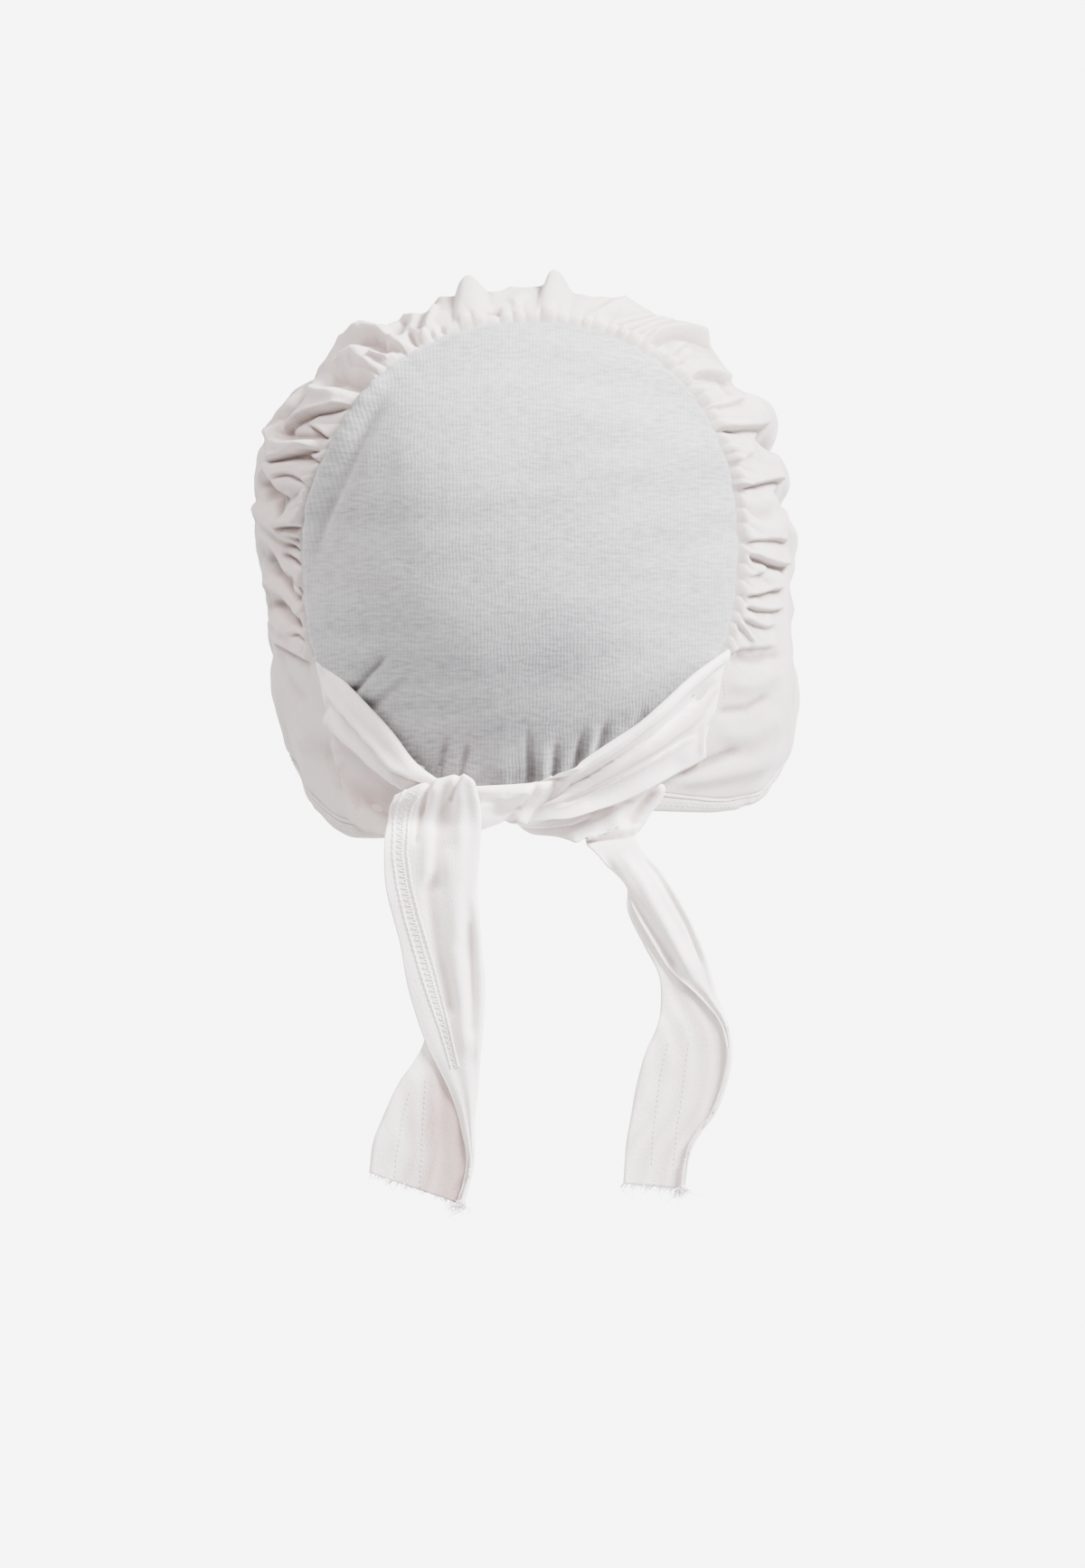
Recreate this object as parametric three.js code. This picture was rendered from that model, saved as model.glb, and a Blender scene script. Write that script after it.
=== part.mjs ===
// Tie-back underscarf cap of pale jersey, in the form that it has when worn: a domed crown
// panel, a ruched band round it, a turned hem along the open edge, a nape hem, and two ties
// in a half knot at the nape. Millimetres, +Z up, +Y towards the wearer's face, +X to the
// right as seen from behind. The origin is the top of the head, on the cap's inner face.
import * as THREE from "three";

const { clamp, degToRad, lerp, smoothstep } = THREE.MathUtils;

// The space for the head: its outline from the front, side and top.
const HEAD = {
  side: 83,
  front: 92,
  back: 106,
  above: 80, // from the head's widest level up to its top
  below: 132, // from there down to where its sides would close
  power: 2.3, // 2 makes ellipses, and more makes squarer outlines
};
// The nape curves in under the back of the head.
const NAPE = { tuck: 0.14, startsDown: 20, endsDown: 95 };

const CLOTH = { wall: 1.2, hemWall: 2.2, tieWall: 1.5, gap: 0.4 };
const HEM = { width: 7, napeClock: 148, depth: 171, step: 0.4 };
// The crown panel's outline from behind: half its width, how far its top lies below the head's
// top, and the height of the nape hem below it.
const CROWN = { side: 68.5, top: 13, aboveHem: 10, power: 2.2 };

// The open edge. Clock is the angle round the crown seam, from its top, in degrees. Azimuth is
// the place round the head, from the nape, in degrees. Drop is a share of HEM.depth.
const OPEN_EDGE = [
  { clock: -30, azimuth: 201, drop: 0.322 },
  { clock: 0, azimuth: 180, drop: 0.3 },
  { clock: 30, azimuth: 159, drop: 0.322 },
  { clock: 60, azimuth: 139, drop: 0.44 },
  { clock: 90, azimuth: 118, drop: 0.71 },
  { clock: 110, azimuth: 95, drop: 0.92 },
  { clock: 130, azimuth: 64, drop: 0.985 },
  { clock: 150, azimuth: 32, drop: 1 },
  { clock: 180, azimuth: 0, drop: 0.985 },
  { clock: 210, azimuth: -32, drop: 1 },
];
const EDGE_TILT = 0.018; // the open edge hangs a little lower on the left

// The ruching: how far the band stands off the head, and where each fold runs. Seam is the
// fold's clock angle at the crown seam, and rim its angle RUCHE.rimAt further forward. Height
// is a share of RUCHE.height, width is half the fold's width in degrees, and reach is a share
// of RUCHE.reach.
const RUCHE = { height: 6.5, reach: 85, rimAt: 70, rise: 9, puff: 2.2, ends: 112, fade: 18 };
const FOLDS = [
  { seam: -109, rim: -100, height: 0.22, width: 3.5, reach: 0.6 },
  { seam: -101, rim: -92, height: 0.3, width: 4, reach: 0.7 },
  { seam: -92, rim: -80, height: 0.5, width: 5, reach: 0.9 },
  { seam: -78, rim: -68, height: 0.95, width: 7, reach: 1 },
  { seam: -61, rim: -57, height: 0.75, width: 6, reach: 1 },
  { seam: -49, rim: -48, height: 0.35, width: 3.5, reach: 0.7 },
  { seam: -39, rim: -37, height: 0.8, width: 7, reach: 1 },
  { seam: -28, rim: -26, height: 0.45, width: 4, reach: 0.8 },
  { seam: -21, rim: -19, height: 0.4, width: 3.5, reach: 0.7 },
  { seam: -12.5, rim: -11, height: 1.3, width: 4.4, reach: 0.62 },
  { seam: -3, rim: -3, height: 0.3, width: 5, reach: 0.8 },
  { seam: 4.5, rim: 6.5, height: 1.3, width: 4.2, reach: 0.62 },
  { seam: 13, rim: 13, height: 0.3, width: 5, reach: 0.8 },
  { seam: 21, rim: 21, height: 0.45, width: 4.5, reach: 0.8 },
  { seam: 32, rim: 35, height: 0.6, width: 5.5, reach: 0.9 },
  { seam: 43, rim: 45, height: 0.4, width: 4, reach: 0.8 },
  { seam: 52, rim: 57, height: 0.85, width: 5.5, reach: 1 },
  { seam: 64, rim: 67, height: 0.6, width: 5, reach: 1 },
  { seam: 82, rim: 79, height: 0.8, width: 6, reach: 1 },
  { seam: 93, rim: 88, height: 0.35, width: 4, reach: 0.7 },
  { seam: 101, rim: 95, height: 0.25, width: 3.5, reach: 0.6 },
];
// On the right the open edge stands off the temple.
const TEMPLE_FLARE = { clock: 76, width: 22, height: 5, reach: 40 };

// Creases in the crown panel, from where the ties draw it in at the nape. Across is a share of
// CROWN.side, up is a share of the panel's height, and depth of CREASE.depth.
const CREASE = { depth: 2.2, width: 2.6 };
const CROWN_CREASES = [
  { across: -0.74, lean: 0.62, up: 0.26, depth: 0.9 },
  { across: -0.36, lean: 0.05, up: 0.12, depth: 0.5 },
  { across: 0.02, lean: 0.05, up: 0.17, depth: 1 },
  { across: 0.13, lean: 0.2, up: 0.18, depth: 0.9 },
  { across: 0.25, lean: 0.45, up: 0.16, depth: 0.7 },
];
// The roll of loose cloth in the crown panel along its upper left seam.
const CROWN_ROLL = { clock: -52, spread: 38, height: 2.6, width: 7 };

// The ties. Each is a strip sewn over the band's side, drawn to the knot, and left hanging. It
// is turned back along one edge, its folded edge, which is its top one until it hangs, and its
// right one from there on. Turned is the space between the two layers.
const TIE = { strapReach: 60, knotReach: 20, tailLength: 125, frontWidth: 30, lift: 3.6, turned: 0.9 };
const KNOT = { x: -1, z: -164, layer: 4.4 };

// Sections of each tie, from its seam to its free end. X and z are where the folded edge runs,
// as shares of the zone's size: TIE.strapReach, TIE.knotReach or TIE.tailLength, from the knot's
// middle. Front is the width of its front layer and back that of its turned layer, as shares of
// TIE.frontWidth. Layer is how many times KNOT.layer the strip stands off the nape. Tilt turns
// the section in the plane seen from behind, 90 having the folded edge on top. Thick is a share
// of CLOTH.tieWall.
const RIGHT_TIE = [
  { zone: "strap", x: 1.083, z: 0.742, front: 1.2, back: 0.09, layer: -0.25, tilt: 79, thick: 1 },
  { zone: "strap", x: 0.917, z: 0.617, front: 1.1, back: 0.09, layer: 0.05, tilt: 81, thick: 1 },
  { zone: "strap", x: 0.717, z: 0.433, front: 0.9, back: 0.09, layer: 1.15, tilt: 84, thick: 1.1 },
  { zone: "strap", x: 0.517, z: 0.275, front: 0.75, back: 0.09, layer: 1.35, tilt: 85, thick: 1.2 },
  { zone: "strap", x: 0.333, z: 0.153, front: 0.66, back: 0.09, layer: 1.55, tilt: 78, thick: 1.2 },
  { zone: "knot", x: 0.75, z: 0.16, front: 0.62, back: 0.09, layer: 1.95, tilt: 48, thick: 1 },
  { zone: "knot", x: 0.52, z: -0.33, front: 0.39, back: 0.09, layer: 1.05, tilt: 40, thick: 1 },
  { zone: "knot", x: 0.05, z: -0.3, front: 0.27, back: 0.09, layer: 0.1, tilt: 58, thick: 1 },
  { zone: "knot", x: -0.4, z: -0.17, front: 0.25, back: 0.09, layer: 0, tilt: 75, thick: 1.1 },
  { zone: "knot", x: -0.8, z: -0.02, front: 0.3, back: 0.09, layer: -0.05, tilt: 60, thick: 1 },
  { zone: "knot", x: -0.9, z: 0.16, front: 0.34, back: 0.09, layer: 0, tilt: 25, thick: 1 },
  { zone: "knot", x: -0.84, z: 0.31, front: 0.37, back: 0.09, layer: 0.9, tilt: 8, thick: 1.1 },
  { zone: "knot", x: -0.82, z: 0.31, front: 0.4, back: 0.09, layer: 2.2, tilt: 8, thick: 1.1 },
  { zone: "knot", x: -0.79, z: 0.15, front: 0.62, back: 0.12, layer: 3, tilt: 8, thick: 1 },
  { zone: "knot", x: -0.75, z: -0.15, front: 0.88, back: 0.2, layer: 3.1, tilt: 0, thick: 1 },
  { zone: "knot", x: -0.725, z: -0.55, front: 0.98, back: 0.35, layer: 3, tilt: 0, thick: 1 },
  { zone: "tail", x: -0.116, z: -0.144, front: 1.03, back: 0.55, layer: 2.6, tilt: 0, thick: 1 },
  { zone: "tail", x: -0.124, z: -0.264, front: 0.98, back: 0.6, layer: 2.6, tilt: 0, thick: 1 },
  { zone: "tail", x: -0.112, z: -0.408, front: 0.88, back: 0.6, layer: 2.6, tilt: 0, thick: 1 },
  { zone: "tail", x: -0.104, z: -0.528, front: 0.82, back: 0.6, layer: 2.6, tilt: 0, thick: 1 },
  { zone: "tail", x: -0.112, z: -0.664, front: 0.6, back: 0.63, layer: 2.6, tilt: 0, thick: 1 },
  { zone: "tail", x: -0.122, z: -0.784, front: 0.32, back: 0.87, layer: 2.6, tilt: -3, thick: 1 },
  { zone: "tail", x: -0.13, z: -0.888, front: 0.14, back: 1.0, layer: 2.6, tilt: -8, thick: 1 },
  { zone: "tail", x: -0.132, z: -0.984, front: 0.09, back: 1.12, layer: 2.6, tilt: -14, thick: 1 },
  { zone: "tail", x: -0.16, z: -1.08, front: 0.09, back: 1.07, layer: 2.6, tilt: -19, thick: 1 },
];
const LEFT_TIE = [
  { zone: "strap", x: -1.15, z: 0.7, front: 1.83, back: 0.09, layer: 0.45, tilt: 102, thick: 1 },
  { zone: "strap", x: -0.95, z: 0.508, front: 1.53, back: 0.09, layer: 0.35, tilt: 97, thick: 1 },
  { zone: "strap", x: -0.767, z: 0.317, front: 1.2, back: 0.09, layer: 0.55, tilt: 93, thick: 1.1 },
  { zone: "strap", x: -0.592, z: 0.108, front: 0.78, back: 0.09, layer: 1.3, tilt: 90, thick: 1.1 },
  { zone: "knot", x: -1.25, z: 0.0, front: 0.52, back: 0.09, layer: 1.65, tilt: 90, thick: 1.1 },
  { zone: "knot", x: -0.75, z: -0.01, front: 0.48, back: 0.09, layer: 1.95, tilt: 88, thick: 1.3 },
  { zone: "knot", x: -0.35, z: -0.015, front: 0.4, back: 0.09, layer: 2, tilt: 84, thick: 1.4 },
  { zone: "knot", x: 0.0, z: 0.0, front: 0.38, back: 0.09, layer: 2, tilt: 74, thick: 1.4 },
  { zone: "knot", x: 0.25, z: 0.12, front: 0.28, back: 0.09, layer: 1.95, tilt: 63, thick: 1 },
  { zone: "knot", x: 0.66, z: 0.19, front: 0.36, back: 0.09, layer: 0.4, tilt: 50, thick: 1 },
  { zone: "knot", x: 0.95, z: 0.23, front: 0.45, back: 0.09, layer: 0.35, tilt: 46, thick: 1 },
  { zone: "knot", x: 1.35, z: 0.25, front: 0.6, back: 0.09, layer: 0.5, tilt: 42, thick: 1 },
  { zone: "knot", x: 2.125, z: 0.025, front: 1.42, back: 0.09, layer: 0.5, tilt: 20, thick: 1 },
  { zone: "knot", x: 1.975, z: -0.55, front: 0.87, back: 0.12, layer: 0.3, tilt: 14, thick: 1 },
  { zone: "knot", x: 1.9, z: -0.85, front: 0.5, back: 0.25, layer: 0.8, tilt: 8, thick: 1 },
  { zone: "tail", x: 0.352, z: -0.22, front: 0.43, back: 0.4, layer: 1.4, tilt: 15, thick: 1 },
  { zone: "tail", x: 0.396, z: -0.288, front: 0.5, back: 0.57, layer: 1.8, tilt: 15, thick: 1 },
  { zone: "tail", x: 0.44, z: -0.376, front: 0.48, back: 0.58, layer: 2, tilt: 15, thick: 1 },
  { zone: "tail", x: 0.472, z: -0.46, front: 0.4, back: 0.55, layer: 2.1, tilt: 12, thick: 1 },
  { zone: "tail", x: 0.496, z: -0.544, front: 0.17, back: 0.62, layer: 2.2, tilt: 8, thick: 1 },
  { zone: "tail", x: 0.524, z: -0.616, front: 0.09, back: 0.78, layer: 2.2, tilt: 3, thick: 1 },
  { zone: "tail", x: 0.532, z: -0.688, front: 0.09, back: 0.93, layer: 2.2, tilt: 0, thick: 1 },
  { zone: "tail", x: 0.52, z: -0.768, front: 0.09, back: 0.97, layer: 2.2, tilt: 0, thick: 1 },
  { zone: "tail", x: 0.488, z: -0.848, front: 0.09, back: 0.9, layer: 2.2, tilt: 0, thick: 1 },
  { zone: "tail", x: 0.432, z: -0.928, front: 0.09, back: 0.72, layer: 2.2, tilt: 0, thick: 1 },
  { zone: "tail", x: 0.412, z: -1.04, front: 0.09, back: 0.67, layer: 2.2, tilt: -5, thick: 1 },
];

// How finely each piece is cut into faces.
const FACES = { bandAround: 108, crownAround: 52, napeAround: 14, tieAlong: 48 };
const TIE_FRONT_SHARES = [1, 0.7, 0.4, 0.15];
const BAND_ROWS = [0, 0.03, 0.075, 0.14, 0.22, 0.32, 0.44, 0.58, 0.72, 0.86, 1];
const CROWN_ROWS = [0.14, 0.3, 0.46, 0.6, 0.71, 0.8, 0.87, 0.93, 0.97, 1];

// A share of 0 to 1 with its sign kept, raised to a power.
function signedPower(value, power) {
  return Math.sign(value) * Math.abs(value) ** power;
}

// A smooth bump that is 1 in the middle and 0 from one width away.
function bump(distance, width) {
  const share = Math.abs(distance) / width;
  return share < 1 ? Math.cos((share * Math.PI) / 2) ** 2 : 0;
}

// One column of a table at a place on its axis, on a smooth curve through the rows.
function tableValue(rows, axis, at, column) {
  let i = 0;
  while (i < rows.length - 2 && at > rows[i + 1][axis]) i += 1;
  const [a, b] = [rows[i], rows[i + 1]];
  const before = rows[Math.max(i - 1, 0)];
  const after = rows[Math.min(i + 2, rows.length - 1)];
  const span = b[axis] - a[axis];
  const s = clamp((at - a[axis]) / span, 0, 1);
  const slope = (p, q) => ((q[column] - p[column]) * span) / (q[axis] - p[axis]);
  const [startSlope, endSlope] = [slope(before, b), slope(a, after)];
  return (
    a[column] * (2 * s ** 3 - 3 * s ** 2 + 1) +
    startSlope * (s ** 3 - 2 * s ** 2 + s) +
    b[column] * (3 * s ** 2 - 2 * s ** 3) +
    endSlope * (s ** 3 - s ** 2)
  );
}

// The head's depth, front or back, at a height measured from its widest level.
function depthAt(forward, height) {
  if (forward > 0) return HEAD.front;
  return HEAD.back * (1 - NAPE.tuck * smoothstep(-height, NAPE.startsDown, NAPE.endsDown));
}

function heightLimit(height) {
  return height > 0 ? HEAD.above : HEAD.below;
}

const headCentre = new THREE.Vector3(0, 0, -HEAD.above);
const crownBottom = CROWN.aboveHem - HEM.depth;
const crownHeight = -CROWN.top - crownBottom;
const crownMiddle = crownBottom + crownHeight / 2;

// Where a direction from the head's centre meets the head.
function headPoint(direction) {
  const p = direction.clone().setLength(HEAD.side);
  for (let step = 0; step < 8; step += 1) {
    const sum =
      Math.abs(p.x / HEAD.side) ** HEAD.power +
      Math.abs(p.y / depthAt(p.y, p.z)) ** HEAD.power +
      Math.abs(p.z / heightLimit(p.z)) ** HEAD.power;
    p.divideScalar(sum ** (1 / HEAD.power));
  }
  return p.add(headCentre);
}

// The point on the back of the head that is seen at x and z.
function backOfHead(x, z) {
  const height = z + HEAD.above;
  const rest =
    1 - Math.abs(x / HEAD.side) ** HEAD.power - Math.abs(height / heightLimit(height)) ** HEAD.power;
  const y = -depthAt(-1, height) * Math.max(rest, 0) ** (1 / HEAD.power);
  return new THREE.Vector3(x, y, z);
}

// The outward direction at a point of the head.
function outward(point) {
  const p = point.clone().sub(headCentre);
  const slope = (value, limit) => signedPower(value / limit, HEAD.power - 1) / limit;
  return new THREE.Vector3(
    slope(p.x, HEAD.side),
    slope(p.y, depthAt(p.y, p.z)),
    slope(p.z, heightLimit(p.z)),
  ).normalize();
}

// A point of the crown panel as seen from behind, at a clock angle and a share of the way out.
function crownSpot(clock, share) {
  const angle = degToRad(clock);
  const x = share * CROWN.side * signedPower(Math.sin(angle), 2 / CROWN.power);
  const z = crownMiddle + share * (crownHeight / 2) * signedPower(Math.cos(angle), 2 / CROWN.power);
  return [x, z];
}

function seamPoint(clock) {
  return backOfHead(...crownSpot(clock, 1));
}

function edgePoint(anyClock) {
  const clock = anyClock > 180 ? anyClock - 360 : anyClock;
  const azimuth = degToRad(tableValue(OPEN_EDGE, "clock", Math.abs(clock), "azimuth"));
  const drop = tableValue(OPEN_EDGE, "clock", Math.abs(clock), "drop") * HEM.depth;
  const [side, back] = [Math.sign(clock || 1) * Math.sin(azimuth), -Math.cos(azimuth)];
  const height = HEAD.above - drop;
  const rest = 1 - Math.abs(height / heightLimit(height)) ** HEAD.power;
  const reach =
    Math.abs(side / HEAD.side) ** HEAD.power + Math.abs(back / depthAt(back, height)) ** HEAD.power;
  const radius = (rest / reach) ** (1 / HEAD.power);
  return new THREE.Vector3(side * radius, back * radius, -drop + EDGE_TILT * side * radius);
}

// The run over the head from the crown seam to the open edge at a clock angle.
function runAt(clock) {
  const from = seamPoint(clock).sub(headCentre);
  const to = edgePoint(clock).sub(headCentre);
  const angle = from.angleTo(to);
  const axis = from.clone().cross(to).normalize();
  const pointAt = (share) => headPoint(from.clone().applyAxisAngle(axis, angle * share));
  const steps = 8;
  let length = 0;
  for (let i = 0; i < steps; i += 1) {
    length += pointAt(i / steps).distanceTo(pointAt((i + 1) / steps));
  }
  return { pointAt, length };
}

// How far the ruched band stands off the head, at a distance forward of the seam.
function ruchedHeight(clock, distance, length) {
  const rise = smoothstep(distance, 0, RUCHE.rise);
  const gathered = 1 - smoothstep(Math.abs(clock), RUCHE.ends - RUCHE.fade, RUCHE.ends);
  let height = RUCHE.puff * rise * gathered * (1 - smoothstep(distance, RUCHE.rimAt, RUCHE.reach * 1.3));
  for (const fold of FOLDS) {
    const middle = lerp(fold.seam, fold.rim, Math.min(distance / RUCHE.rimAt, 1.3));
    const reach = RUCHE.reach * fold.reach;
    const fall = 1 - smoothstep(distance, reach * 0.45, reach * 1.2);
    height += RUCHE.height * fold.height * bump(clock - middle, fold.width) * rise * fall;
  }
  const flare = bump(clock - TEMPLE_FLARE.clock, TEMPLE_FLARE.width) * TEMPLE_FLARE.height;
  return height + flare * smoothstep(distance, length - TEMPLE_FLARE.reach, length);
}

// A closed wall between two grids of points, each a list of rows as long as one another. A loop
// joins each row's ends, and a domed wall has its first rows closed by a middle point each.
function wallGeometry(outer, inner, { loop = false, middles = null } = {}) {
  const rows = outer.length;
  const columns = outer[0].length;
  const points = [...outer.flat(), ...inner.flat(), ...(middles ?? [])];
  const index = [];
  const at = (row, column, isInner) => (isInner ? rows * columns : 0) + row * columns + (column % columns);
  const quad = (a, b, c, d) => index.push(a, b, c, a, c, d);
  const lastColumn = loop ? columns : columns - 1;
  for (let row = 0; row < rows - 1; row += 1) {
    for (let column = 0; column < lastColumn; column += 1) {
      const corners = (isInner) => [
        at(row, column, isInner),
        at(row, column + 1, isInner),
        at(row + 1, column + 1, isInner),
        at(row + 1, column, isInner),
      ];
      quad(...corners(false));
      quad(...corners(true).reverse());
    }
  }
  // A face across the wall's thickness between two neighbouring places on its border.
  const border = (from, to) => quad(at(...from, false), at(...from, true), at(...to, true), at(...to, false));
  for (let column = 0; column < lastColumn; column += 1) {
    border([rows - 1, column + 1], [rows - 1, column]);
    if (middles) {
      const middle = 2 * rows * columns;
      index.push(middle, at(0, column + 1, false), at(0, column, false));
      index.push(middle + 1, at(0, column, true), at(0, column + 1, true));
    } else {
      border([0, column], [0, column + 1]);
    }
  }
  for (let row = 0; row < rows - 1 && !loop; row += 1) {
    border([row + 1, 0], [row, 0]);
    border([row, columns - 1], [row + 1, columns - 1]);
  }
  const geometry = new THREE.BufferGeometry();
  geometry.setAttribute("position", new THREE.Float32BufferAttribute(points.flatMap((p) => [p.x, p.y, p.z]), 3));
  geometry.setIndex(index);
  geometry.computeVertexNormals();
  return geometry;
}

// Outer and inner grids from a function that gives, for a row and column, a point on the head,
// how far the wall's inner face is off it, and the wall's thickness there.
function wallGrids(rows, columns, place) {
  const outer = [];
  const inner = [];
  for (const row of rows) {
    const spots = columns.map((column) => {
      const { point, off, wall } = place(row, column);
      const normal = outward(point);
      return [point.clone().addScaledVector(normal, off + wall), point.clone().addScaledVector(normal, off)];
    });
    outer.push(spots.map(([far]) => far));
    inner.push(spots.map(([, near]) => near));
  }
  return [outer, inner];
}

function evenly(from, to, count) {
  return Array.from({ length: count + 1 }, (_, i) => lerp(from, to, i / count));
}

// A wall as thick, measured square to it, where it climbs a fold's flank.
function flankWall(heightAt, clock, degreeLength) {
  const slope = (heightAt(clock + 1) - heightAt(clock - 1)) / (2 * degreeLength);
  return CLOTH.wall * Math.min(Math.hypot(1, slope), 2);
}

function gatheredBand() {
  const clocks = evenly(-HEM.napeClock, HEM.napeClock, FACES.bandAround);
  const runs = new Map(clocks.map((clock) => [clock, runAt(clock)]));
  const [outer, inner] = wallGrids(BAND_ROWS, clocks, (row, clock) => {
    const { pointAt, length } = runs.get(clock);
    const [start, end] = [CLOTH.gap, length - HEM.width - CLOTH.gap];
    const distance = lerp(start, end, row);
    const point = pointAt(distance / length);
    const heightAt = (c) => ruchedHeight(c, distance, length);
    const degreeLength = degToRad(CROWN.side);
    return { point, off: heightAt(clock), wall: flankWall(heightAt, clock, degreeLength) };
  });
  return wallGeometry(outer, inner);
}

function crownOff(clock, share, x, z) {
  const rise = (z - crownBottom) / crownHeight;
  let off = 0;
  for (const crease of CROWN_CREASES) {
    const middle = (crease.across + crease.lean * rise) * CROWN.side;
    const fade = 1 - smoothstep(rise, crease.up * 0.4, crease.up * 1.6);
    off -= CREASE.depth * crease.depth * bump(x - middle, CREASE.width * (1 + 3 * rise)) * fade;
  }
  const inset = (1 - share) * CROWN.side;
  const roll = bump(inset - CROWN_ROLL.width, CROWN_ROLL.width) * bump(clock - CROWN_ROLL.clock, CROWN_ROLL.spread);
  return Math.max(off, -CREASE.depth) + CREASE.depth * smoothstep(inset, 0, CROWN_ROLL.width) * 0.5 + CROWN_ROLL.height * roll;
}

function crownPanel() {
  const clocks = evenly(-180, 180, FACES.crownAround).slice(0, -1);
  const place = (share, clock) => {
    const [x, z] = crownSpot(clock, share);
    return { point: backOfHead(x, z), off: crownOff(clock, share, x, z), wall: CLOTH.wall };
  };
  const [outer, inner] = wallGrids(CROWN_ROWS, clocks, place);
  const [[outerMiddle], [innerMiddle]] = wallGrids([0], [0], place);
  return wallGeometry(outer, inner, { loop: true, middles: [...outerMiddle, ...innerMiddle] });
}

// A strip of hem between two clock angles, from a start distance before the open edge to it.
function hemStrip(fromClock, toClock, faces, startOf) {
  const clocks = evenly(fromClock, toClock, faces);
  const runs = new Map(clocks.map((clock) => [clock, runAt(clock)]));
  const [outer, inner] = wallGrids([0, 0.3, 1], clocks, (row, clock) => {
    const { pointAt, length } = runs.get(clock);
    const distance = lerp(startOf(length), length, row);
    const rounding = row === 0 || row === 1 ? HEM.step : 0;
    const off = ruchedHeight(clock, distance, length);
    return { point: pointAt(distance / length), off, wall: CLOTH.hemWall - rounding };
  });
  return wallGeometry(outer, inner);
}

function edgeHem() {
  return hemStrip(-HEM.napeClock, HEM.napeClock, FACES.bandAround, (length) => length - HEM.width);
}

function napeHem() {
  const endGap = CLOTH.gap / degToRad(CROWN.side) + 0.3;
  const from = HEM.napeClock + endGap;
  return hemStrip(from, 360 - from, FACES.napeAround, () => 2 * CLOTH.gap);
}

// A tie's sections as a table of plain sizes, with a place from 0 at its seam, and how closely
// each one follows the head.
function tieTable(rows) {
  const sizes = { strap: TIE.strapReach, knot: TIE.knotReach, tail: TIE.tailLength };
  return rows.map((row, place) => ({
    place,
    x: KNOT.x + row.x * sizes[row.zone],
    z: KNOT.z + row.z * sizes[row.zone],
    front: row.front * TIE.frontWidth,
    back: row.back * TIE.frontWidth,
    out: TIE.lift + row.layer * KNOT.layer,
    hug: row.zone === "tail" ? 0 : 1,
    tilt: row.tilt,
    thick: row.thick * CLOTH.tieWall,
  }));
}

// The middle line across a tie's section: its front layer, its folded edge and its turned layer.
function tieSection(value) {
  const tilt = degToRad(value("tilt"));
  const across = new THREE.Vector3(Math.cos(tilt), 0, Math.sin(tilt));
  const [front, back] = [value("front"), value("back")];
  const turned = TIE.turned + value("thick");
  const nearFold = turned / 2;
  const steps = [
    ...TIE_FRONT_SHARES.map((share) => ({ in: front * share + nearFold * (1 - share), deep: 0 })),
    { in: 0, deep: turned / 2 },
    { in: Math.min(nearFold, back / 2), deep: turned },
    { in: back / 2 + nearFold / 2, deep: turned },
    { in: back, deep: turned },
  ];
  const knot = backOfHead(KNOT.x, KNOT.z);
  return steps.map((step) => {
    const spot = new THREE.Vector3(value("x"), 0, value("z")).addScaledVector(across, -step.in);
    const onHead = backOfHead(spot.x, Math.max(spot.z, -HEM.depth));
    const away = value("out") / Math.max(-outward(onHead).y, 0.4);
    spot.y = lerp(knot.y - value("out"), onHead.y - away, clamp(value("hug"), 0, 1));
    return { spot, deep: step.deep };
  });
}

function tieStrip(rows) {
  const table = tieTable(rows);
  const places = evenly(0, table.length - 1, FACES.tieAlong);
  const sections = places.map((place) => tieSection((column) => tableValue(table, "place", place, column)));
  const thicks = places.map((place) => tableValue(table, "place", place, "thick"));
  const last = sections.length - 1;
  const alongAt = (i, j) =>
    sections[Math.min(i + 1, last)][j].spot.clone().sub(sections[Math.max(i - 1, 0)][j].spot);
  // The turned layer stands off the front one, on the strip's back.
  const lines = sections.map((section, i) => {
    const side = section.at(4).spot.clone().sub(section[0].spot);
    const back = side.cross(alongAt(i, 2)).normalize();
    return section.map(({ spot, deep }) => spot.clone().addScaledVector(back, deep));
  });
  const outer = [];
  const inner = [];
  lines.forEach((line, i) => {
    const normals = line.map((_, j) => {
      const side = line[Math.min(j + 1, line.length - 1)].clone().sub(line[Math.max(j - 1, 0)]);
      return side.cross(alongAt(i, j)).normalize();
    });
    outer.push(line.map((p, j) => p.clone().addScaledVector(normals[j], thicks[i] / 2)));
    inner.push(line.map((p, j) => p.clone().addScaledVector(normals[j], -thicks[i] / 2)));
  });
  return wallGeometry(outer, inner);
}

const jersey = (name, color, geometry) => {
  const material = new THREE.MeshStandardMaterial({ color, roughness: 0.9, metalness: 0 });
  const mesh = new THREE.Mesh(geometry, material);
  mesh.name = name;
  return mesh;
};

const cap = new THREE.Group();
cap.add(
  jersey("crown_panel", 0xd9d6d6, crownPanel()),
  jersey("gathered_band", 0xe6dfdd, gatheredBand()),
  jersey("edge_hem", 0xe4dddb, edgeHem()),
  jersey("nape_hem", 0xd9d6d6, napeHem()),
  jersey("left_tie", 0xece4e2, tieStrip(LEFT_TIE)),
  jersey("right_tie", 0xece4e2, tieStrip(RIGHT_TIE)),
);

export default cap;
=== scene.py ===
# Looks for the tie-back underscarf cap: pale jersey, a domed crown panel, a ruched band, turned
# hems, and two ties in a half knot at the nape. Sizes are in millimetres until a mesh is made.
import bmesh
import bpy
import math
import numpy as np
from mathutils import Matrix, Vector
from mathutils.bvhtree import BVHTree


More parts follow.
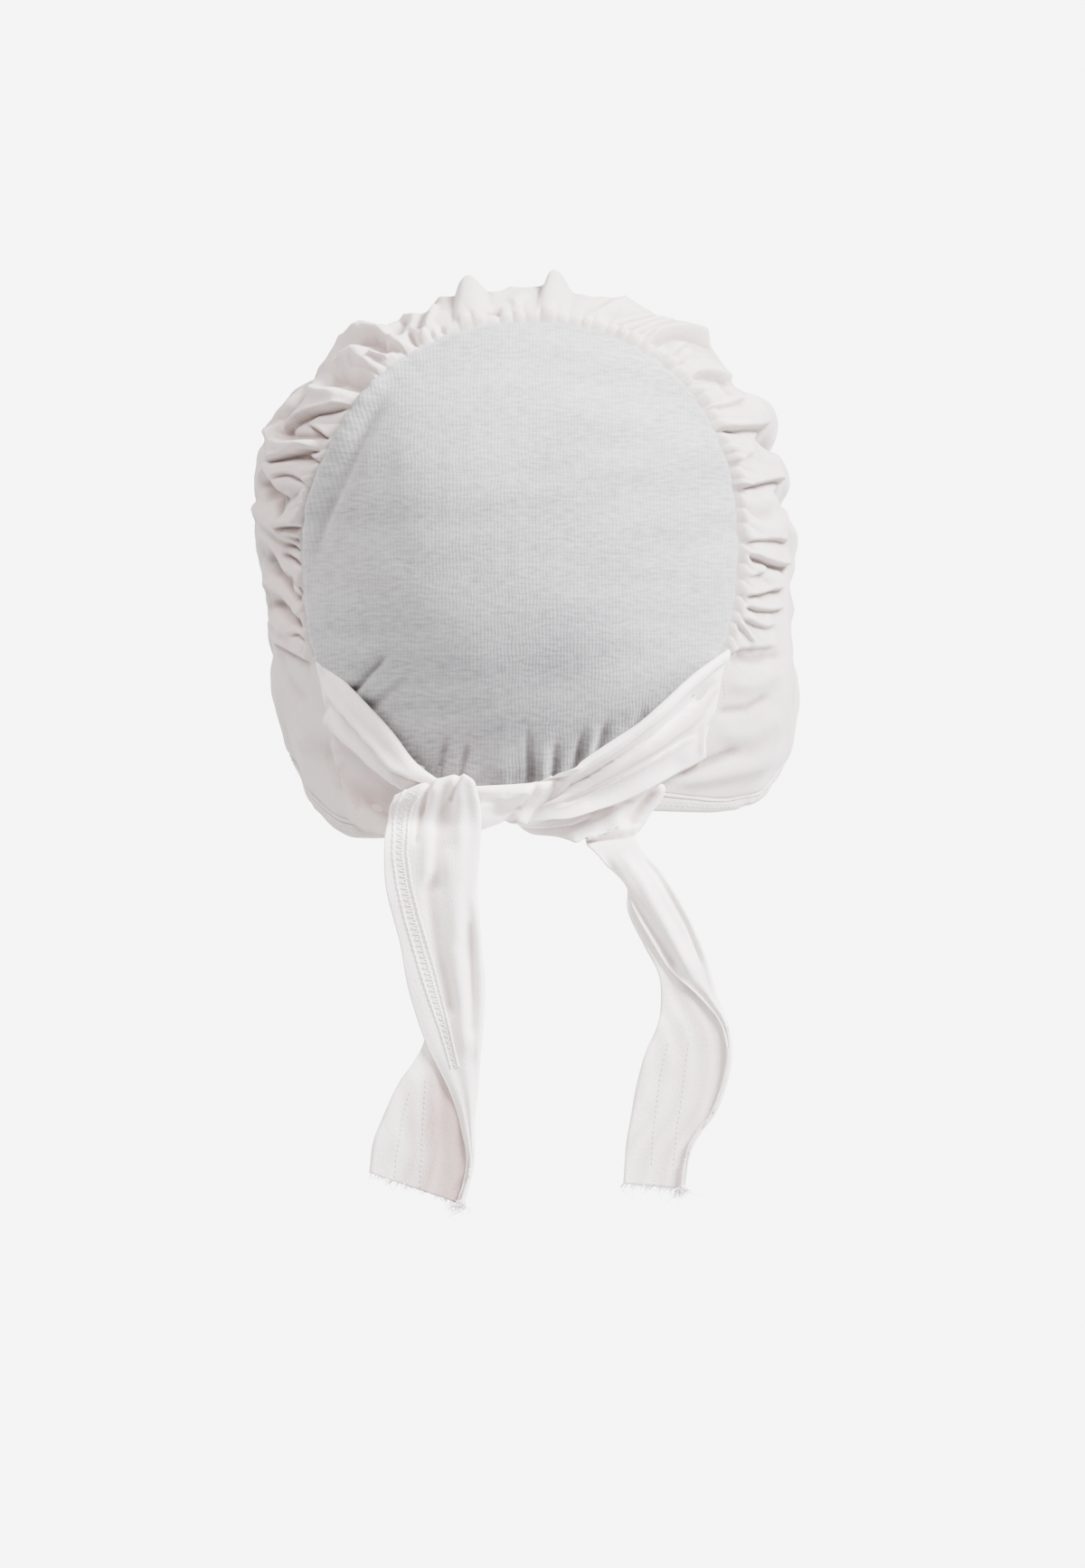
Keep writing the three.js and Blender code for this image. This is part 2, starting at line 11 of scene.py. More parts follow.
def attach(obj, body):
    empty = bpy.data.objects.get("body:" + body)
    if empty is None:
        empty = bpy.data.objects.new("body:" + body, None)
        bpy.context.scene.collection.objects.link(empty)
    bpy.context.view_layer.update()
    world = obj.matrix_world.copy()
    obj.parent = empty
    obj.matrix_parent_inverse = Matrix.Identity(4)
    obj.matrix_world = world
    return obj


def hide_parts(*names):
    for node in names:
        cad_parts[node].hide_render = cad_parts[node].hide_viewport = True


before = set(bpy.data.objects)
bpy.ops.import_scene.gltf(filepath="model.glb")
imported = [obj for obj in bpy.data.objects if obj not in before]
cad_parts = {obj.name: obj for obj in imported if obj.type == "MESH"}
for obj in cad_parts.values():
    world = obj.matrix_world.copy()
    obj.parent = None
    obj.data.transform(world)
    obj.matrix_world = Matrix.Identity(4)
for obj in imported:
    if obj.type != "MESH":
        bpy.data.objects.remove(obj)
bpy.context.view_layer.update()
MM = 0.001

# The same named sizes as the solids.
HEAD = dict(side=83.0, front=92.0, back=106.0, above=80.0, below=132.0, power=2.3)
NAPE = dict(tuck=0.14, starts=20.0, ends=95.0)
HEM = dict(width=7.0, nape_clock=154.0, depth=171.0)
CROWN = dict(side=68.5, top=-13.0, bottom=-161.0, power=2.2)
EDGE_TILT = 0.018
OPEN_EDGE = np.array([
    # clock, azimuth, drop
    (-30, 201, 0.322), (0, 180, 0.3), (30, 159, 0.322), (60, 139, 0.44), (90, 118, 0.71),
    (110, 95, 0.92), (130, 64, 0.985), (150, 32, 1), (180, 0, 0.985), (210, -32, 1),
])

# How far the band stands off the head form where its outline is seen from behind, by clock angle
BAND_OUTLINE = np.array([
    # clock, height
    (-154, 2.6), (-138, 3.6), (-122, 4.6), (-112, 3.7), (-106, 5.4), (-103, 5.6), (-98, 3.9), (-91, 2.9),
    (-85, 3.2), (-80, 4.8), (-76, 6.4), (-71.5, 4.6), (-68, 6.6), (-65, 8.5), (-61, 7.6), (-57, 5.2),
    (-54.5, 6.6), (-49, 4.2), (-44, 0.7), (-38, 2.6), (-34, 2.6), (-31, 0.6), (-29, -2.6), (-25, -2),
    (-18, -2.4), (-16, -1.2), (-11, -1.4), (-4, -0.8), (3, -0.2), (9, -1.2), (15, -0.8), (18, 0.9),
    (22, -0.8), (25, -2.4), (29, -0.8), (34, 1.4), (38, -2), (46, -2.4), (50, -0.2), (53, 3.8),
    (56, 3.4), (59, -1), (62, -0.6), (65, 3.1), (68, 0.8), (71.5, 1.2), (75, 3.4), (78.5, 6), (81.5, 3),
    (87, 3.4), (94, 5.2), (100, 7.6), (106, 9.6), (113, 9.4), (122, 8.2), (138, 5.4), (154, 3),
])

# Folds of the ruching as they are seen from behind. A fold's line ends its row, as x and z in turn.
# In a lap, drawn from left to right, the cloth above hangs over the cloth below.
LAPS = [
    # lift, reach, dip, width, then the line
    (2.6, 5, 0.8, 1.2, -80.5, -50.5, -78, -48, -74, -45.3, -70, -43.6, -63, -42.3, -56, -41),
    (2.8, 4.5, 0.8, 1.4, -83, -58.8, -78, -57.5, -74, -56.5, -69.5, -55.2, -65.5, -56),
    (1.6, 3, 0.8, 0.8, -71, -46.6, -67, -49, -65, -51, -62.8, -52),
    (1.3, 1.5, 0.8, 0.8, -70, -56.6, -68.5, -58, -66.5, -59, -64.8, -60.6),
    (3.2, 4, 1.4, 1.4, -86, -52, -84.5, -59, -81, -64.5, -78.6, -67, -76, -71.5),
    (1.5, 5, 0.3, 1, -80, -66, -78, -63.5, -76, -62.8, -73.5, -63.3, -70, -66, -66.8, -67.5),
    (3, 6, 1.4, 1.3, -81.5, -79.4, -78, -79.3, -74, -79.4, -71.5, -79.8),
    (1.2, 2, 0.4, 0.7, -73.2, -72, -71.8, -73.8, -70.6, -75.4),
    (1.1, 3, 0.4, 0.8, -85, -116, -80, -118.8, -76, -120.8, -73, -122.2, -70, -124.4),
    (1.6, 2.5, 1, 0.9, -48, -21.8, -43.5, -22.3, -39.4, -23.6),
    (1.5, 2.5, 0.6, 0.9, -51.5, -25.4, -46.5, -26.6, -42, -26),
    (0.9, 2, 0.3, 0.8, 26, -15, 35, -12.5, 43, -10.6), (0.9, 2, 0.3, 0.8, 29, -17.4, 37, -14.5, 46, -12),
    (1, 2, 0.3, 0.8, 32, -19.4, 40, -16.3, 48, -13.4),
    (3.2, 4.5, 1.2, 1.3, 37, -22, 41, -19.8, 46, -18, 50, -17.3, 55, -17.6, 60, -19.6),
    (1.2, 2, 0.5, 0.8, 43.5, -26.8, 47, -24.5, 51, -21.6),
    (2.6, 5, 1.3, 1.2, 50.5, -33, 53, -31.8, 57, -31.2, 61, -31.6, 66, -33.6),
    (1.6, 4, 0.6, 0.9, 56.5, -42.2, 61, -42, 65, -40.4, 71, -37),
    (2.6, 6, 1, 1.1, 59.5, -49.2, 66, -48.8, 70, -48, 75, -47, 80.5, -45),
    (0.8, 4, 0.2, 1.2, 63, -60.4, 67, -59, 72, -55.5),
    (2.2, 6, 0.9, 1.1, 64.5, -67.4, 70, -67, 75, -65.5, 80, -64, 85, -63.6),
    (1.5, 6, 0.7, 1, 68.4, -84.9, 73, -84.1, 79, -83.6, 84.5, -84.4),
    (2.8, 6, 1.3, 1.3, 68.6, -88, 72, -89.8, 76, -91, 80, -92, 86, -91.8),
    (1, 3, 0.4, 0.8, 69, -96.4, 73, -95, 77, -92.6),
    (1.8, 4, 0.8, 1, 68.6, -102.4, 74, -101.5, 78, -100.3, 84, -99.2),
    (1.6, 3, 0.8, 1, 68.6, -105.6, 74, -106.7, 79, -106.8, 84, -105.6),
    (1.1, 3, 0.6, 1.2, 68.6, -109.2, 73, -111.5, 77, -112.5, 81, -110.8),
    (0.8, 4, 0.2, 1.6, 63, -122.5, 68, -119.6, 74, -119.2, 82, -118.4),
    (0.8, 1.6, 0.4, 0.8, 66.8, -111, 70, -114.5, 72.6, -118),
]
# Rounded swells, and hollows where the height is below nothing
SWELLS = [
    # height, width, then the line
    (-0.8, 2, 66, -122.6, 74, -124, 84, -120.6), (0.8, 2.8, 63, -131, 72, -131, 84, -126.6),
    (-0.9, 1.8, 60, -140.6, 71, -139.4, 80, -134), (0.8, 3.2, 60, -148, 72, -147, 85, -140.6),
    (-0.7, 2.4, -84, -118, -78, -131, -72, -139), (0.7, 3, -84, -128, -79, -141, -71, -152),
    (1.1, 3, 44, -167, 60, -160.5, 75, -157, 84, -151), (-0.9, 1.7, 47, -162.6, 58, -157, 70, -151.6),
    (-1.8, 6, -72, -146, -62, -158, -50, -165, -38, -168),
    (-1.1, 0.8, -79, -82, -75.4, -83.8, -72.4, -86.4),
    (-1.3, 0.8, -80, -84.6, -76.4, -86.4, -72.6, -89.2), (-1.6, 0.9, -81, -88, -77, -90.5, -72.8, -94),
    (-2.2, 1, -80, -94.6, -76.5, -99, -73, -103), (-1.2, 0.8, -78, -114.4, -75, -115.8, -72, -117.4),
    (-2.8, 3.2, -89, -84, -85, -90, -81.5, -97, -79, -101.5, -73.5, -108),
    (1.5, 2, -89, -78.6, -84, -86, -81, -92, -78, -98, -74, -104),
    (1.7, 1.9, -88, -94, -83, -99.5, -79, -104, -73.6, -110),
    (-2, 2.3, -86, -102, -80, -108, -76, -111.5, -73, -113.4),
    (1.1, 2, -85, -108, -80, -112.6, -75.6, -114.4), (1.1, 2.4, -80, -66.6, -75, -65.4, -69, -68.8),
    (2.2, 2.4, -91.5, -69, -87, -74.5, -84, -77.5, -80, -80.8, -73.6, -83),
    (-3, 3.2, -89, -60, -86, -67, -83, -73, -80.5, -78.6),
    (-2.9, 2.2, -65, -23.4, -60, -19.8, -56, -17.8, -51, -18, -47.5, -20.8, -44, -23.8),
    (1.9, 2, -61, -16, -54, -13.5, -49.5, -15.5, -45.5, -18.5, -40, -21.6),
    (2, 3, -64, -25.5, -57, -22.5, -53, -26, -48, -30),
    (-2.9, 3, -69, -31.5, -62, -31.3, -57, -33.5, -52, -34.5, -47.8, -33),
    (1.7, 2.2, -73.5, -33.4, -67, -36.5, -61, -37.5, -54, -37.4),
    (-2.4, 2.2, -71, -31, -75, -36.5, -77.5, -41.5, -80, -48.4),
    (2.2, 2.3, -83.5, -42, -84.5, -48, -82, -51.5, -76, -53.3, -70, -53.8, -65, -53.2),
    (-2, 1.6, -81, -48, -76, -51.2, -70.5, -51.6, -65, -50.6),
    (1.1, 2.5, -82, -61.4, -74, -60.5, -68, -61.8), (-1.6, 1.5, -33, -18.2, -29.5, -19, -27.4, -15.6),
    (-1.9, 1, -39.6, -14.6, -38, -18.8, -35.8, -22), (1.1, 1.5, -33.8, -20.4, -31.8, -12, -30.2, -4.6),
    (-0.9, 1.6, -36.6, -16, -35.4, -11, -34, -6.6), (-1.5, 2, -45.6, -20, -42.5, -14.5, -40, -8.6),
    (0.9, 2, -47.4, -15.4, -44.6, -12.4, -43, -10), (-1.8, 1.1, -14.4, -10.6, -11.5, -10, -8.6, -10.6),
    (0.9, 2.6, -6, -8, -3, -5, -1.5, -2), (1.2, 1.8, 19.6, -13.4, 24, -9.6, 28.4, -6.6, 34, -3.2),
    (-0.9, 1.6, 22, -8, 27, -4.8, 31, -3.2), (1.4, 2.4, 44.4, -22.4, 50, -24, 50.6, -28),
    (1.4, 3, 53.6, -36.4, 58, -37, 63, -36), (-1, 2, 60, -34, 66, -36.6, 70, -40),
    (1.2, 3.4, 63.4, -53, 67, -56, 73, -53), (-1.6, 2.6, 75, -48.4, 78.6, -51.6, 82, -54),
    (1.2, 3, 68, -72, 74, -71.6, 81, -70), (-1.3, 2.4, 81, -66, 84, -69.6, 86, -73),
    (0.8, 2.6, 70.4, -80, 76, -79.6, 82, -80), (1.1, 2.2, 70.4, -93, 76, -95.4, 83, -96),
    (-0.7, 3, 64, -124, 72, -122, 80, -121.6),
]
# The two pleats that stand up at the top: foot and tip as x and z, the half widths of the left and
# right flank at the foot, and the heights at foot and tip
PLEATS = [
    # foot x, foot z, tip x, tip z, left, right, low, high
    (-19.0, -15.0, -19.2, 6.0, 5.6, 7.4, 2.2, 8.4),
    (6.6, -11.5, 10.0, 6.3, 4.6, 7.6, 1.8, 7.6),
]
# Folds of the two ties between the seam and the knot
LEFT_LAPS = [
    (1.7, 2.8, 1.6, 1.2, -69, -127.5, -60, -138.5, -50, -150, -42, -158.6, -33, -164),
    (2.1, 4.2, 2, 1.8, -68, -139, -62, -146.5, -55, -153.5, -50, -158, -45, -162.3, -36, -167.6),
]
LEFT_SWELLS = [
    (0.9, 1.6, -66, -131.5, -57, -142.5, -48, -152.6, -38, -161),
    (-1.6, 5.5, -63, -157, -55, -163.6, -47, -169.4, -38, -174),
    (-0.9, 0.8, -66, -136, -65.5, -145, -66.5, -152, -66, -156, -63, -160, -58.8, -163, -56, -172),
    (0.5, 1.4, -64, -138, -63.5, -146, -64, -154, -61, -158, -56.6, -162, -54, -171),
]
RIGHT_LAPS = [
    (2.4, 6, 1.9, 1.5, -2, -175, 3, -171.4, 12, -167, 20, -163, 30, -157, 40, -151, 50, -143.5, 57, -137,
     62, -130), (0.6, 2.4, 0.4, 0.9, 8, -171.4, 18, -167.4, 28, -162.4, 42, -154.5, 56, -146),
]
RIGHT_SWELLS = [
    (-0.7, 0.9, 63.4, -124, 63, -130, 63.6, -134, 62.6, -137.6, 58.4, -141.6, 55.8, -144.6, 55.4, -154),
    (0.9, 1.5, 65.4, -124, 65, -131, 65, -136, 61, -142, 58, -146, 57.4, -154),
    (0.6, 3, 16, -170, 34, -163, 52, -155),
]
# Folds over the knot's arch and the band that comes out under it
ARCH_SWELLS = [
    (-0.9, 1, -31, -160, -33.6, -168, -35.4, -176, -36.6, -184),
    (-0.7, 2.6, -27, -160, -27.6, -170, -28.6, -184, -30.6, -200),
    (-0.7, 0.9, -22, -159, -23.4, -164, -25.4, -170),
    (0.7, 1.8, -30.2, -162, -31.4, -172, -32.6, -186, -33.6, -198),
    (0.8, 2.6, -21.6, -162, -21.4, -176, -21.6, -196, -22, -216),
    (0.9, 3, -26, -182, -24.6, -200, -22, -226, -18.6, -254),
    (-0.8, 2.4, -33, -190, -31.4, -204, -28.6, -220, -24, -240),
    (0.8, 1.6, -17.6, -196, -15.6, -214, -15, -236, -16, -256),
    (-0.5, 1.6, -20, -206, -18.6, -224, -18.4, -246),
]
FAN_LAPS = [
    (1.5, 2.6, 0.9, 0.9, -6, -176, 3, -174.4, 12, -173.8, 20, -172, 30, -169),
    (1, 2.2, 0.7, 0.8, -3, -177.2, 6, -177.6, 14, -176.6, 21, -173.6),
    (1.5, 2.6, 1.1, 1.2, 12, -182.6, 18, -181.6, 24, -180.8, 31, -180, 38, -178),
]
FAN_SWELLS = [
    (1.1, 2.4, 31, -168, 28.6, -173, 27.6, -180), (-0.9, 1.4, 41, -165, 36.4, -171, 32.6, -177),
    (0.9, 2, 44, -163, 40, -171, 36, -177), (-0.9, 1.1, -9, -177, -3, -171.6, 1.4, -166.6, 3.4, -162.6),
    (0.8, 1.6, -15, -167.4, -7, -168, 1, -164.8), (-0.6, 1.3, -16, -172.6, -9, -173, -2, -170.6),
    (0.9, 2.4, 29, -185, 37, -196, 45, -210, 53, -226),
    (-0.9, 1.4, 24, -186, 31, -197, 40, -211, 49, -225),
    (-0.6, 1.2, 36, -184, 43, -195, 51, -209, 57, -224),
]

# How far the crown's seam lies sideways of the solids' even oval, by clock angle
SEAM_SHIFT = np.array([
    (-180, 0), (-150, -1.5), (-136, -5.5), (-126, -8.2), (-118, -8.4), (-108, -7), (-98, -5.8),
    (-86, -4.6), (-76, -2.2), (-64, 0), (0, 0), (180, 0),
])
# Fine gathers at the seam: how high they are by clock angle
GATHERS = np.array([
    (-119, 0), (-114, 0.5), (-106, 0.8), (-96, 0.8), (-88, 0.7), (-76, 0.7), (-48, 0.7), (-36, 1),
    (-20, 1), (0, 1.2), (30, 1.3), (48, 1), (70, 0.9), (84, 1), (96, 1.2), (108, 1), (116, 0),
])
# Where the band stands away along its open edge, at the temple and low at the right
FLARES = [
    dict(clock=76.0, width=22.0, height=5.0, reach=40.0),
    dict(clock=95.0, width=21.0, height=7.0, reach=36.0),
]
# How far the lower left hem hangs below the solids
LEFT_HEM_DROP = 8.0
# The fine gathers at the crown's seam: steps of clock angle, heights and reaches of each one
PUCKER = dict(last_clock=116, step=(2.6, 4.4), most=90, height=(0.55, 1.25), reach=(5.0, 11.0))
# How much higher the folds stand than their tables say
FOLD_GAIN = 1.55
# Points across each grid of cloth
GRID = dict(band=1080, hem=520, casing=110, crown=420, rings=150, tie=460, tie_front=44, tie_back=22)
# Where rays that look for cloth start, behind the head
FAR_BEHIND = -400.0
# Heights, overlaps and thickness of the cloth
CLOTH = dict(lift=1.0, under_seam=1.2, hem_tuck=2.0, tie_wall=0.6)
# Painted shade: its colour in the folds, under the left tie's lap, and on the tails' turned panels
PAINTED_SHADE_TINT = (0.52, 0.43, 0.40)
TUCKED_SHADE = 0.85
PANEL_SHADE = dict(left_tie_cloth=0.6, right_tie_cloth=2.6)
PANEL_COLUMN = 48
# Along a tie, the last section that lies on the band
STRAP_END = 5.5
# How far the outer shoulder of the right tie's arch hangs below its inner edge
ARCH_DROOP = 4.6

# The ties' sections, as in the solids: x and z of the folded edge, widths of the front and the
# turned layer, layers off the nape, tilt of the section and thickness.
TIE = dict(strap=60.0, knot=20.0, tail=125.0, width=30.0, lift=3.6, turned=0.9, wall=1.5)
KNOT = dict(x=-1.0, z=-164.0, layer=4.4)
RIGHT_TIE = dict(
    strap=[
        (1.083, 0.742, 1.2, 0.09, -0.25, 79, 1), (0.917, 0.617, 1.1, 0.09, 0.05, 81, 1),
        (0.717, 0.433, 0.9, 0.09, 1.15, 84, 1.1), (0.517, 0.275, 0.75, 0.09, 1.35, 85, 1.2),
        (0.333, 0.153, 0.66, 0.09, 1.55, 78, 1.2),
    ],
    knot=[
        (0.84, 0.325, 0.67, 0.09, 2, 61, 1), (0.675, 0.175, 0.79, 0.09, 1.3, 42, 1),
        (0.35, 0, 0.6, 0.09, 0.3, 40, 1), (-0.1, -0.08, 0.5, 0.09, -0.2, 48, 1),
        (-0.55, -0.08, 0.4, 0.09, -0.2, 62, 1), (-0.93, 0.1, 0.42, 0.09, 0, 30, 1),
        (-0.975, 0.19, 0.6, 0.09, 0.9, 10, 1.1), (-0.95, 0.2, 0.76, 0.09, 2.2, 6, 1.1),
        (-0.84, 0.08, 0.87, 0.12, 3, 4, 1), (-0.77, -0.2, 0.95, 0.2, 3.1, 0, 1),
        (-0.725, -0.55, 1, 0.35, 3, 0, 1),
    ],
    tail=[
        (-0.116, -0.144, 1.03, 0.55, 2.6, 0, 1), (-0.124, -0.264, 0.98, 0.6, 2.6, 0, 1),
        (-0.112, -0.408, 0.88, 0.6, 2.6, 0, 1), (-0.104, -0.528, 0.82, 0.6, 2.6, 0, 1),
        (-0.112, -0.664, 0.6, 0.63, 2.6, 0, 1), (-0.122, -0.784, 0.32, 0.87, 2.6, -3, 0.8),
        (-0.13, -0.888, 0.14, 1, 2.6, -8, 0.7), (-0.132, -0.984, 0.07, 1.12, 2.6, -14, 0.6),
        (-0.16, -1.08, 0.06, 1.07, 2.6, -19, 0.6),
    ],
)
LEFT_TIE = dict(
    strap=[
        (-1.15, 0.7, 1.83, 0.09, 0.45, 102, 1), (-0.95, 0.508, 1.53, 0.09, 0.35, 97, 1),
        (-0.767, 0.317, 1.2, 0.09, 0.55, 93, 1.1), (-0.592, 0.108, 0.78, 0.09, 1.3, 90, 1.1),
    ],
    knot=[
        (-1.25, 0, 0.52, 0.09, 1.65, 90, 1.1), (-0.75, -0.01, 0.48, 0.09, 1.95, 88, 1.3),
        (-0.35, -0.015, 0.4, 0.09, 2, 84, 1.4), (0, 0, 0.38, 0.09, 2, 74, 1.4),
        (0.3, 0.02, 0.5, 0.09, 1.9, 56, 1), (0.65, 0.05, 0.69, 0.09, 1.3, 42, 1),
        (0.95, 0.1, 0.82, 0.09, 0.4, 46, 1), (1.35, 0.25, 0.9, 0.09, 0.2, 54, 1),
        (2.25, 0, 1.07, 0.09, 0.4, 32, 1), (2, -0.52, 0.72, 0.12, 0.4, 20, 1),
        (1.79, -0.83, 0.5, 0.25, 0.8, 13, 1),
    ],
    tail=[
        (0.352, -0.22, 0.43, 0.4, 1.4, 15, 1), (0.396, -0.288, 0.5, 0.57, 1.8, 15, 1),
        (0.44, -0.376, 0.48, 0.58, 2, 15, 1), (0.472, -0.46, 0.4, 0.55, 2.1, 12, 1),
        (0.496, -0.544, 0.17, 0.62, 2.2, 8, 1), (0.524, -0.616, 0.07, 0.78, 2.2, 3, 0.7),
        (0.532, -0.688, 0.05, 0.93, 2.2, 0, 0.6), (0.52, -0.768, 0.05, 0.97, 2.2, 0, 0.6),
        (0.488, -0.848, 0.05, 0.9, 2.2, 0, 0.6), (0.432, -0.928, 0.05, 0.72, 2.2, 0, 0.6),
        (0.412, -1.04, 0.05, 0.67, 2.2, -5, 0.6),
    ],
)

rng = np.random.default_rng(7)
CENTRE = np.array([0.0, 0.0, -HEAD["above"]])


# Curves and noise
def ease(x, a, b):
    """From 0 at a to 1 at b, with soft ends."""
    t = np.clip((np.asarray(x, float) - a) / (b - a), 0, 1)
    return t * t * (3 - 2 * t)


def bump(distance, width):
    t = np.clip(np.abs(distance) / width, 0, 1)
    return np.cos(t * np.pi / 2) ** 2


def signed_power(v, p):
    return np.sign(v) * np.abs(v) ** p


def unit(v):
    return v / np.maximum(np.linalg.norm(v, axis=-1, keepdims=True), 1e-9)


def table_curve(xs, ys, at):
    """A smooth curve through a table's rows, the same as in the solids."""
    xs, ys, at = np.asarray(xs, float), np.asarray(ys, float), np.asarray(at, float)
    i = np.clip(np.searchsorted(xs, at, side="left") - 1, 0, len(xs) - 2)
    a, b = i, i + 1
    before, after = np.maximum(i - 1, 0), np.minimum(i + 2, len(xs) - 1)
    span = xs[b] - xs[a]
    s = np.clip((at - xs[a]) / span, 0, 1)
    m0 = (ys[b] - ys[before]) * span / (xs[b] - xs[before])
    m1 = (ys[after] - ys[a]) * span / (xs[after] - xs[a])
    return (ys[a] * (2 * s**3 - 3 * s**2 + 1) + m0 * (s**3 - 2 * s**2 + s)
            + ys[b] * (3 * s**2 - 2 * s**3) + m1 * (s**3 - s**2))


def value_noise(p, seed=0):
    """Smooth noise between -1 and 1 at points p, with cells one unit wide."""
    p = np.asarray(p, float)
    base = np.floor(p).astype(np.int64)
    f = p - base
    f = f * f * f * (f * (f * 6 - 15) + 10)
    total = 0
    for corner in range(8):
        o = np.array([corner & 1, corner >> 1 & 1, corner >> 2 & 1])
        q = base + o
        h = (q[..., 0] * 73856093) ^ (q[..., 1] * 19349663) ^ (q[..., 2] * 83492791) ^ (seed * 2654435761)
        h = (h ^ (h >> 13)) * 1274126177 & 0xFFFFFFFF
        h = (h ^ (h >> 16)) & 0xFFFF
        w = np.prod(np.where(o == 1, f, 1 - f), axis=-1)
        total = total + w * (h / 32767.5 - 1)
    return total


# The head form
def flat_noise(u, v, seed):
    return value_noise(np.stack([u, v, np.zeros_like(v)], -1), seed)


def depth_at(y, height):
    back = HEAD["back"] * (1 - NAPE["tuck"] * ease(-height, NAPE["starts"], NAPE["ends"]))
    return np.where(y > 0, HEAD["front"], back)


def height_limit(height):
    return np.where(height > 0, HEAD["above"], HEAD["below"])


def on_head(direction):
    p = unit(direction) * HEAD["side"]
    for _ in range(8):
        total = (np.abs(p[..., 0] / HEAD["side"]) ** HEAD["power"]
                 + np.abs(p[..., 1] / depth_at(p[..., 1], p[..., 2])) ** HEAD["power"]
                 + np.abs(p[..., 2] / height_limit(p[..., 2])) ** HEAD["power"])
        p = p / (total ** (1 / HEAD["power"]))[..., None]
    return p + CENTRE


def back_of_head(x, z):
    height = z + HEAD["above"]
    rest = (1 - np.abs(x / HEAD["side"]) ** HEAD["power"]
            - np.abs(height / height_limit(height)) ** HEAD["power"])
    y = -depth_at(-1.0, height) * np.maximum(rest, 0) ** (1 / HEAD["power"])
    return np.stack([x, y, z], axis=-1)


def outward(point):
    p = point - CENTRE
    power = HEAD["power"] - 1

    def slope(v, limit):
        return signed_power(v / limit, power) / limit

    return unit(np.stack([
        slope(p[..., 0], HEAD["side"]),
        slope(p[..., 1], depth_at(p[..., 1], p[..., 2])),
        slope(p[..., 2], height_limit(p[..., 2])),
    ], axis=-1))


def crown_spot(clock, share):
    angle = np.radians(clock)
    middle = (CROWN["top"] + CROWN["bottom"]) / 2
    half = (CROWN["top"] - CROWN["bottom"]) / 2
    x = share * CROWN["side"] * signed_power(np.sin(angle), 2 / CROWN["power"])
    z = middle + share * half * signed_power(np.cos(angle), 2 / CROWN["power"])
    around = np.where(clock > 180, clock - 360, clock)
    return x + share * table_curve(SEAM_SHIFT[:, 0], SEAM_SHIFT[:, 1], around), z


def seam_point(clock):
    x, z = crown_spot(clock, 1.0)
    return back_of_head(x, z)


def edge_point(clock):
    clock = np.where(clock > 180, clock - 360, clock)
    azimuth = np.radians(table_curve(OPEN_EDGE[:, 0], OPEN_EDGE[:, 1], np.abs(clock)))
    drop = table_curve(OPEN_EDGE[:, 0], OPEN_EDGE[:, 2], np.abs(clock)) * HEM["depth"]
    side = np.where(clock < 0, -1, 1) * np.sin(azimuth)
    back = -np.cos(azimuth)
    height = HEAD["above"] - drop
    rest = 1 - np.abs(height / height_limit(height)) ** HEAD["power"]
    reach = (np.abs(side / HEAD["side"]) ** HEAD["power"]
             + np.abs(back / depth_at(back, height)) ** HEAD["power"])
    radius = (rest / reach) ** (1 / HEAD["power"])
    return np.stack([side * radius, back * radius, -drop + EDGE_TILT * side * radius], axis=-1)


def run_points(clock, share):
    """Points on the head at clock angles and shares of the run from the seam to the open edge."""
    a = seam_point(clock) - CENTRE
    b = edge_point(clock) - CENTRE
    ua, ub = unit(a), unit(b)
    angle = np.arccos(np.clip(np.sum(ua * ub, axis=-1), -1, 1))
    perp = unit(ub - ua * np.sum(ua * ub, axis=-1, keepdims=True))
    t = (angle * share)[..., None]
    return on_head(ua * np.cos(t) + perp * np.sin(t))


def run_length(clock):
    shares = np.linspace(0, 1, 9)
    pts = np.stack([run_points(clock, np.full_like(clock, s)) for s in shares], axis=0)
    return np.sum(np.linalg.norm(np.diff(pts, axis=0), axis=-1), axis=0)


# Making meshes
def hollows(pts, loop=False):
    """How far each point lies below the cloth around it, from 0 to 1, for the shade in folds."""
    normal = grid_normals(pts, loop)
    total = 0
    for times, depth in ((6, 0.28), (50, 1.2)):
        even = pts.copy()
        for _ in range(times):
            if loop:
                even = (np.roll(even, 1, axis=1) + np.roll(even, -1, axis=1) + 2 * even) / 4
            else:
                even[:, 1:-1] = (even[:, :-2] + even[:, 2:] + 2 * even[:, 1:-1]) / 4
            even[1:-1] = (even[:-2] + even[2:] + 2 * even[1:-1]) / 4
        below = np.sum((even - pts) * normal, axis=-1)
        total = total + np.clip(below / depth, 0, 1)
    return np.clip(total * 0.7, 0, 1)


def grid_quads(rows, cols, loop=False):
    r, c = np.meshgrid(np.arange(rows - 1), np.arange(cols if loop else cols - 1), indexing="ij")
    c2 = (c + 1) % cols
    return np.stack([r * cols + c, r * cols + c2, (r + 1) * cols + c2, (r + 1) * cols + c], -1).reshape(-1, 4)


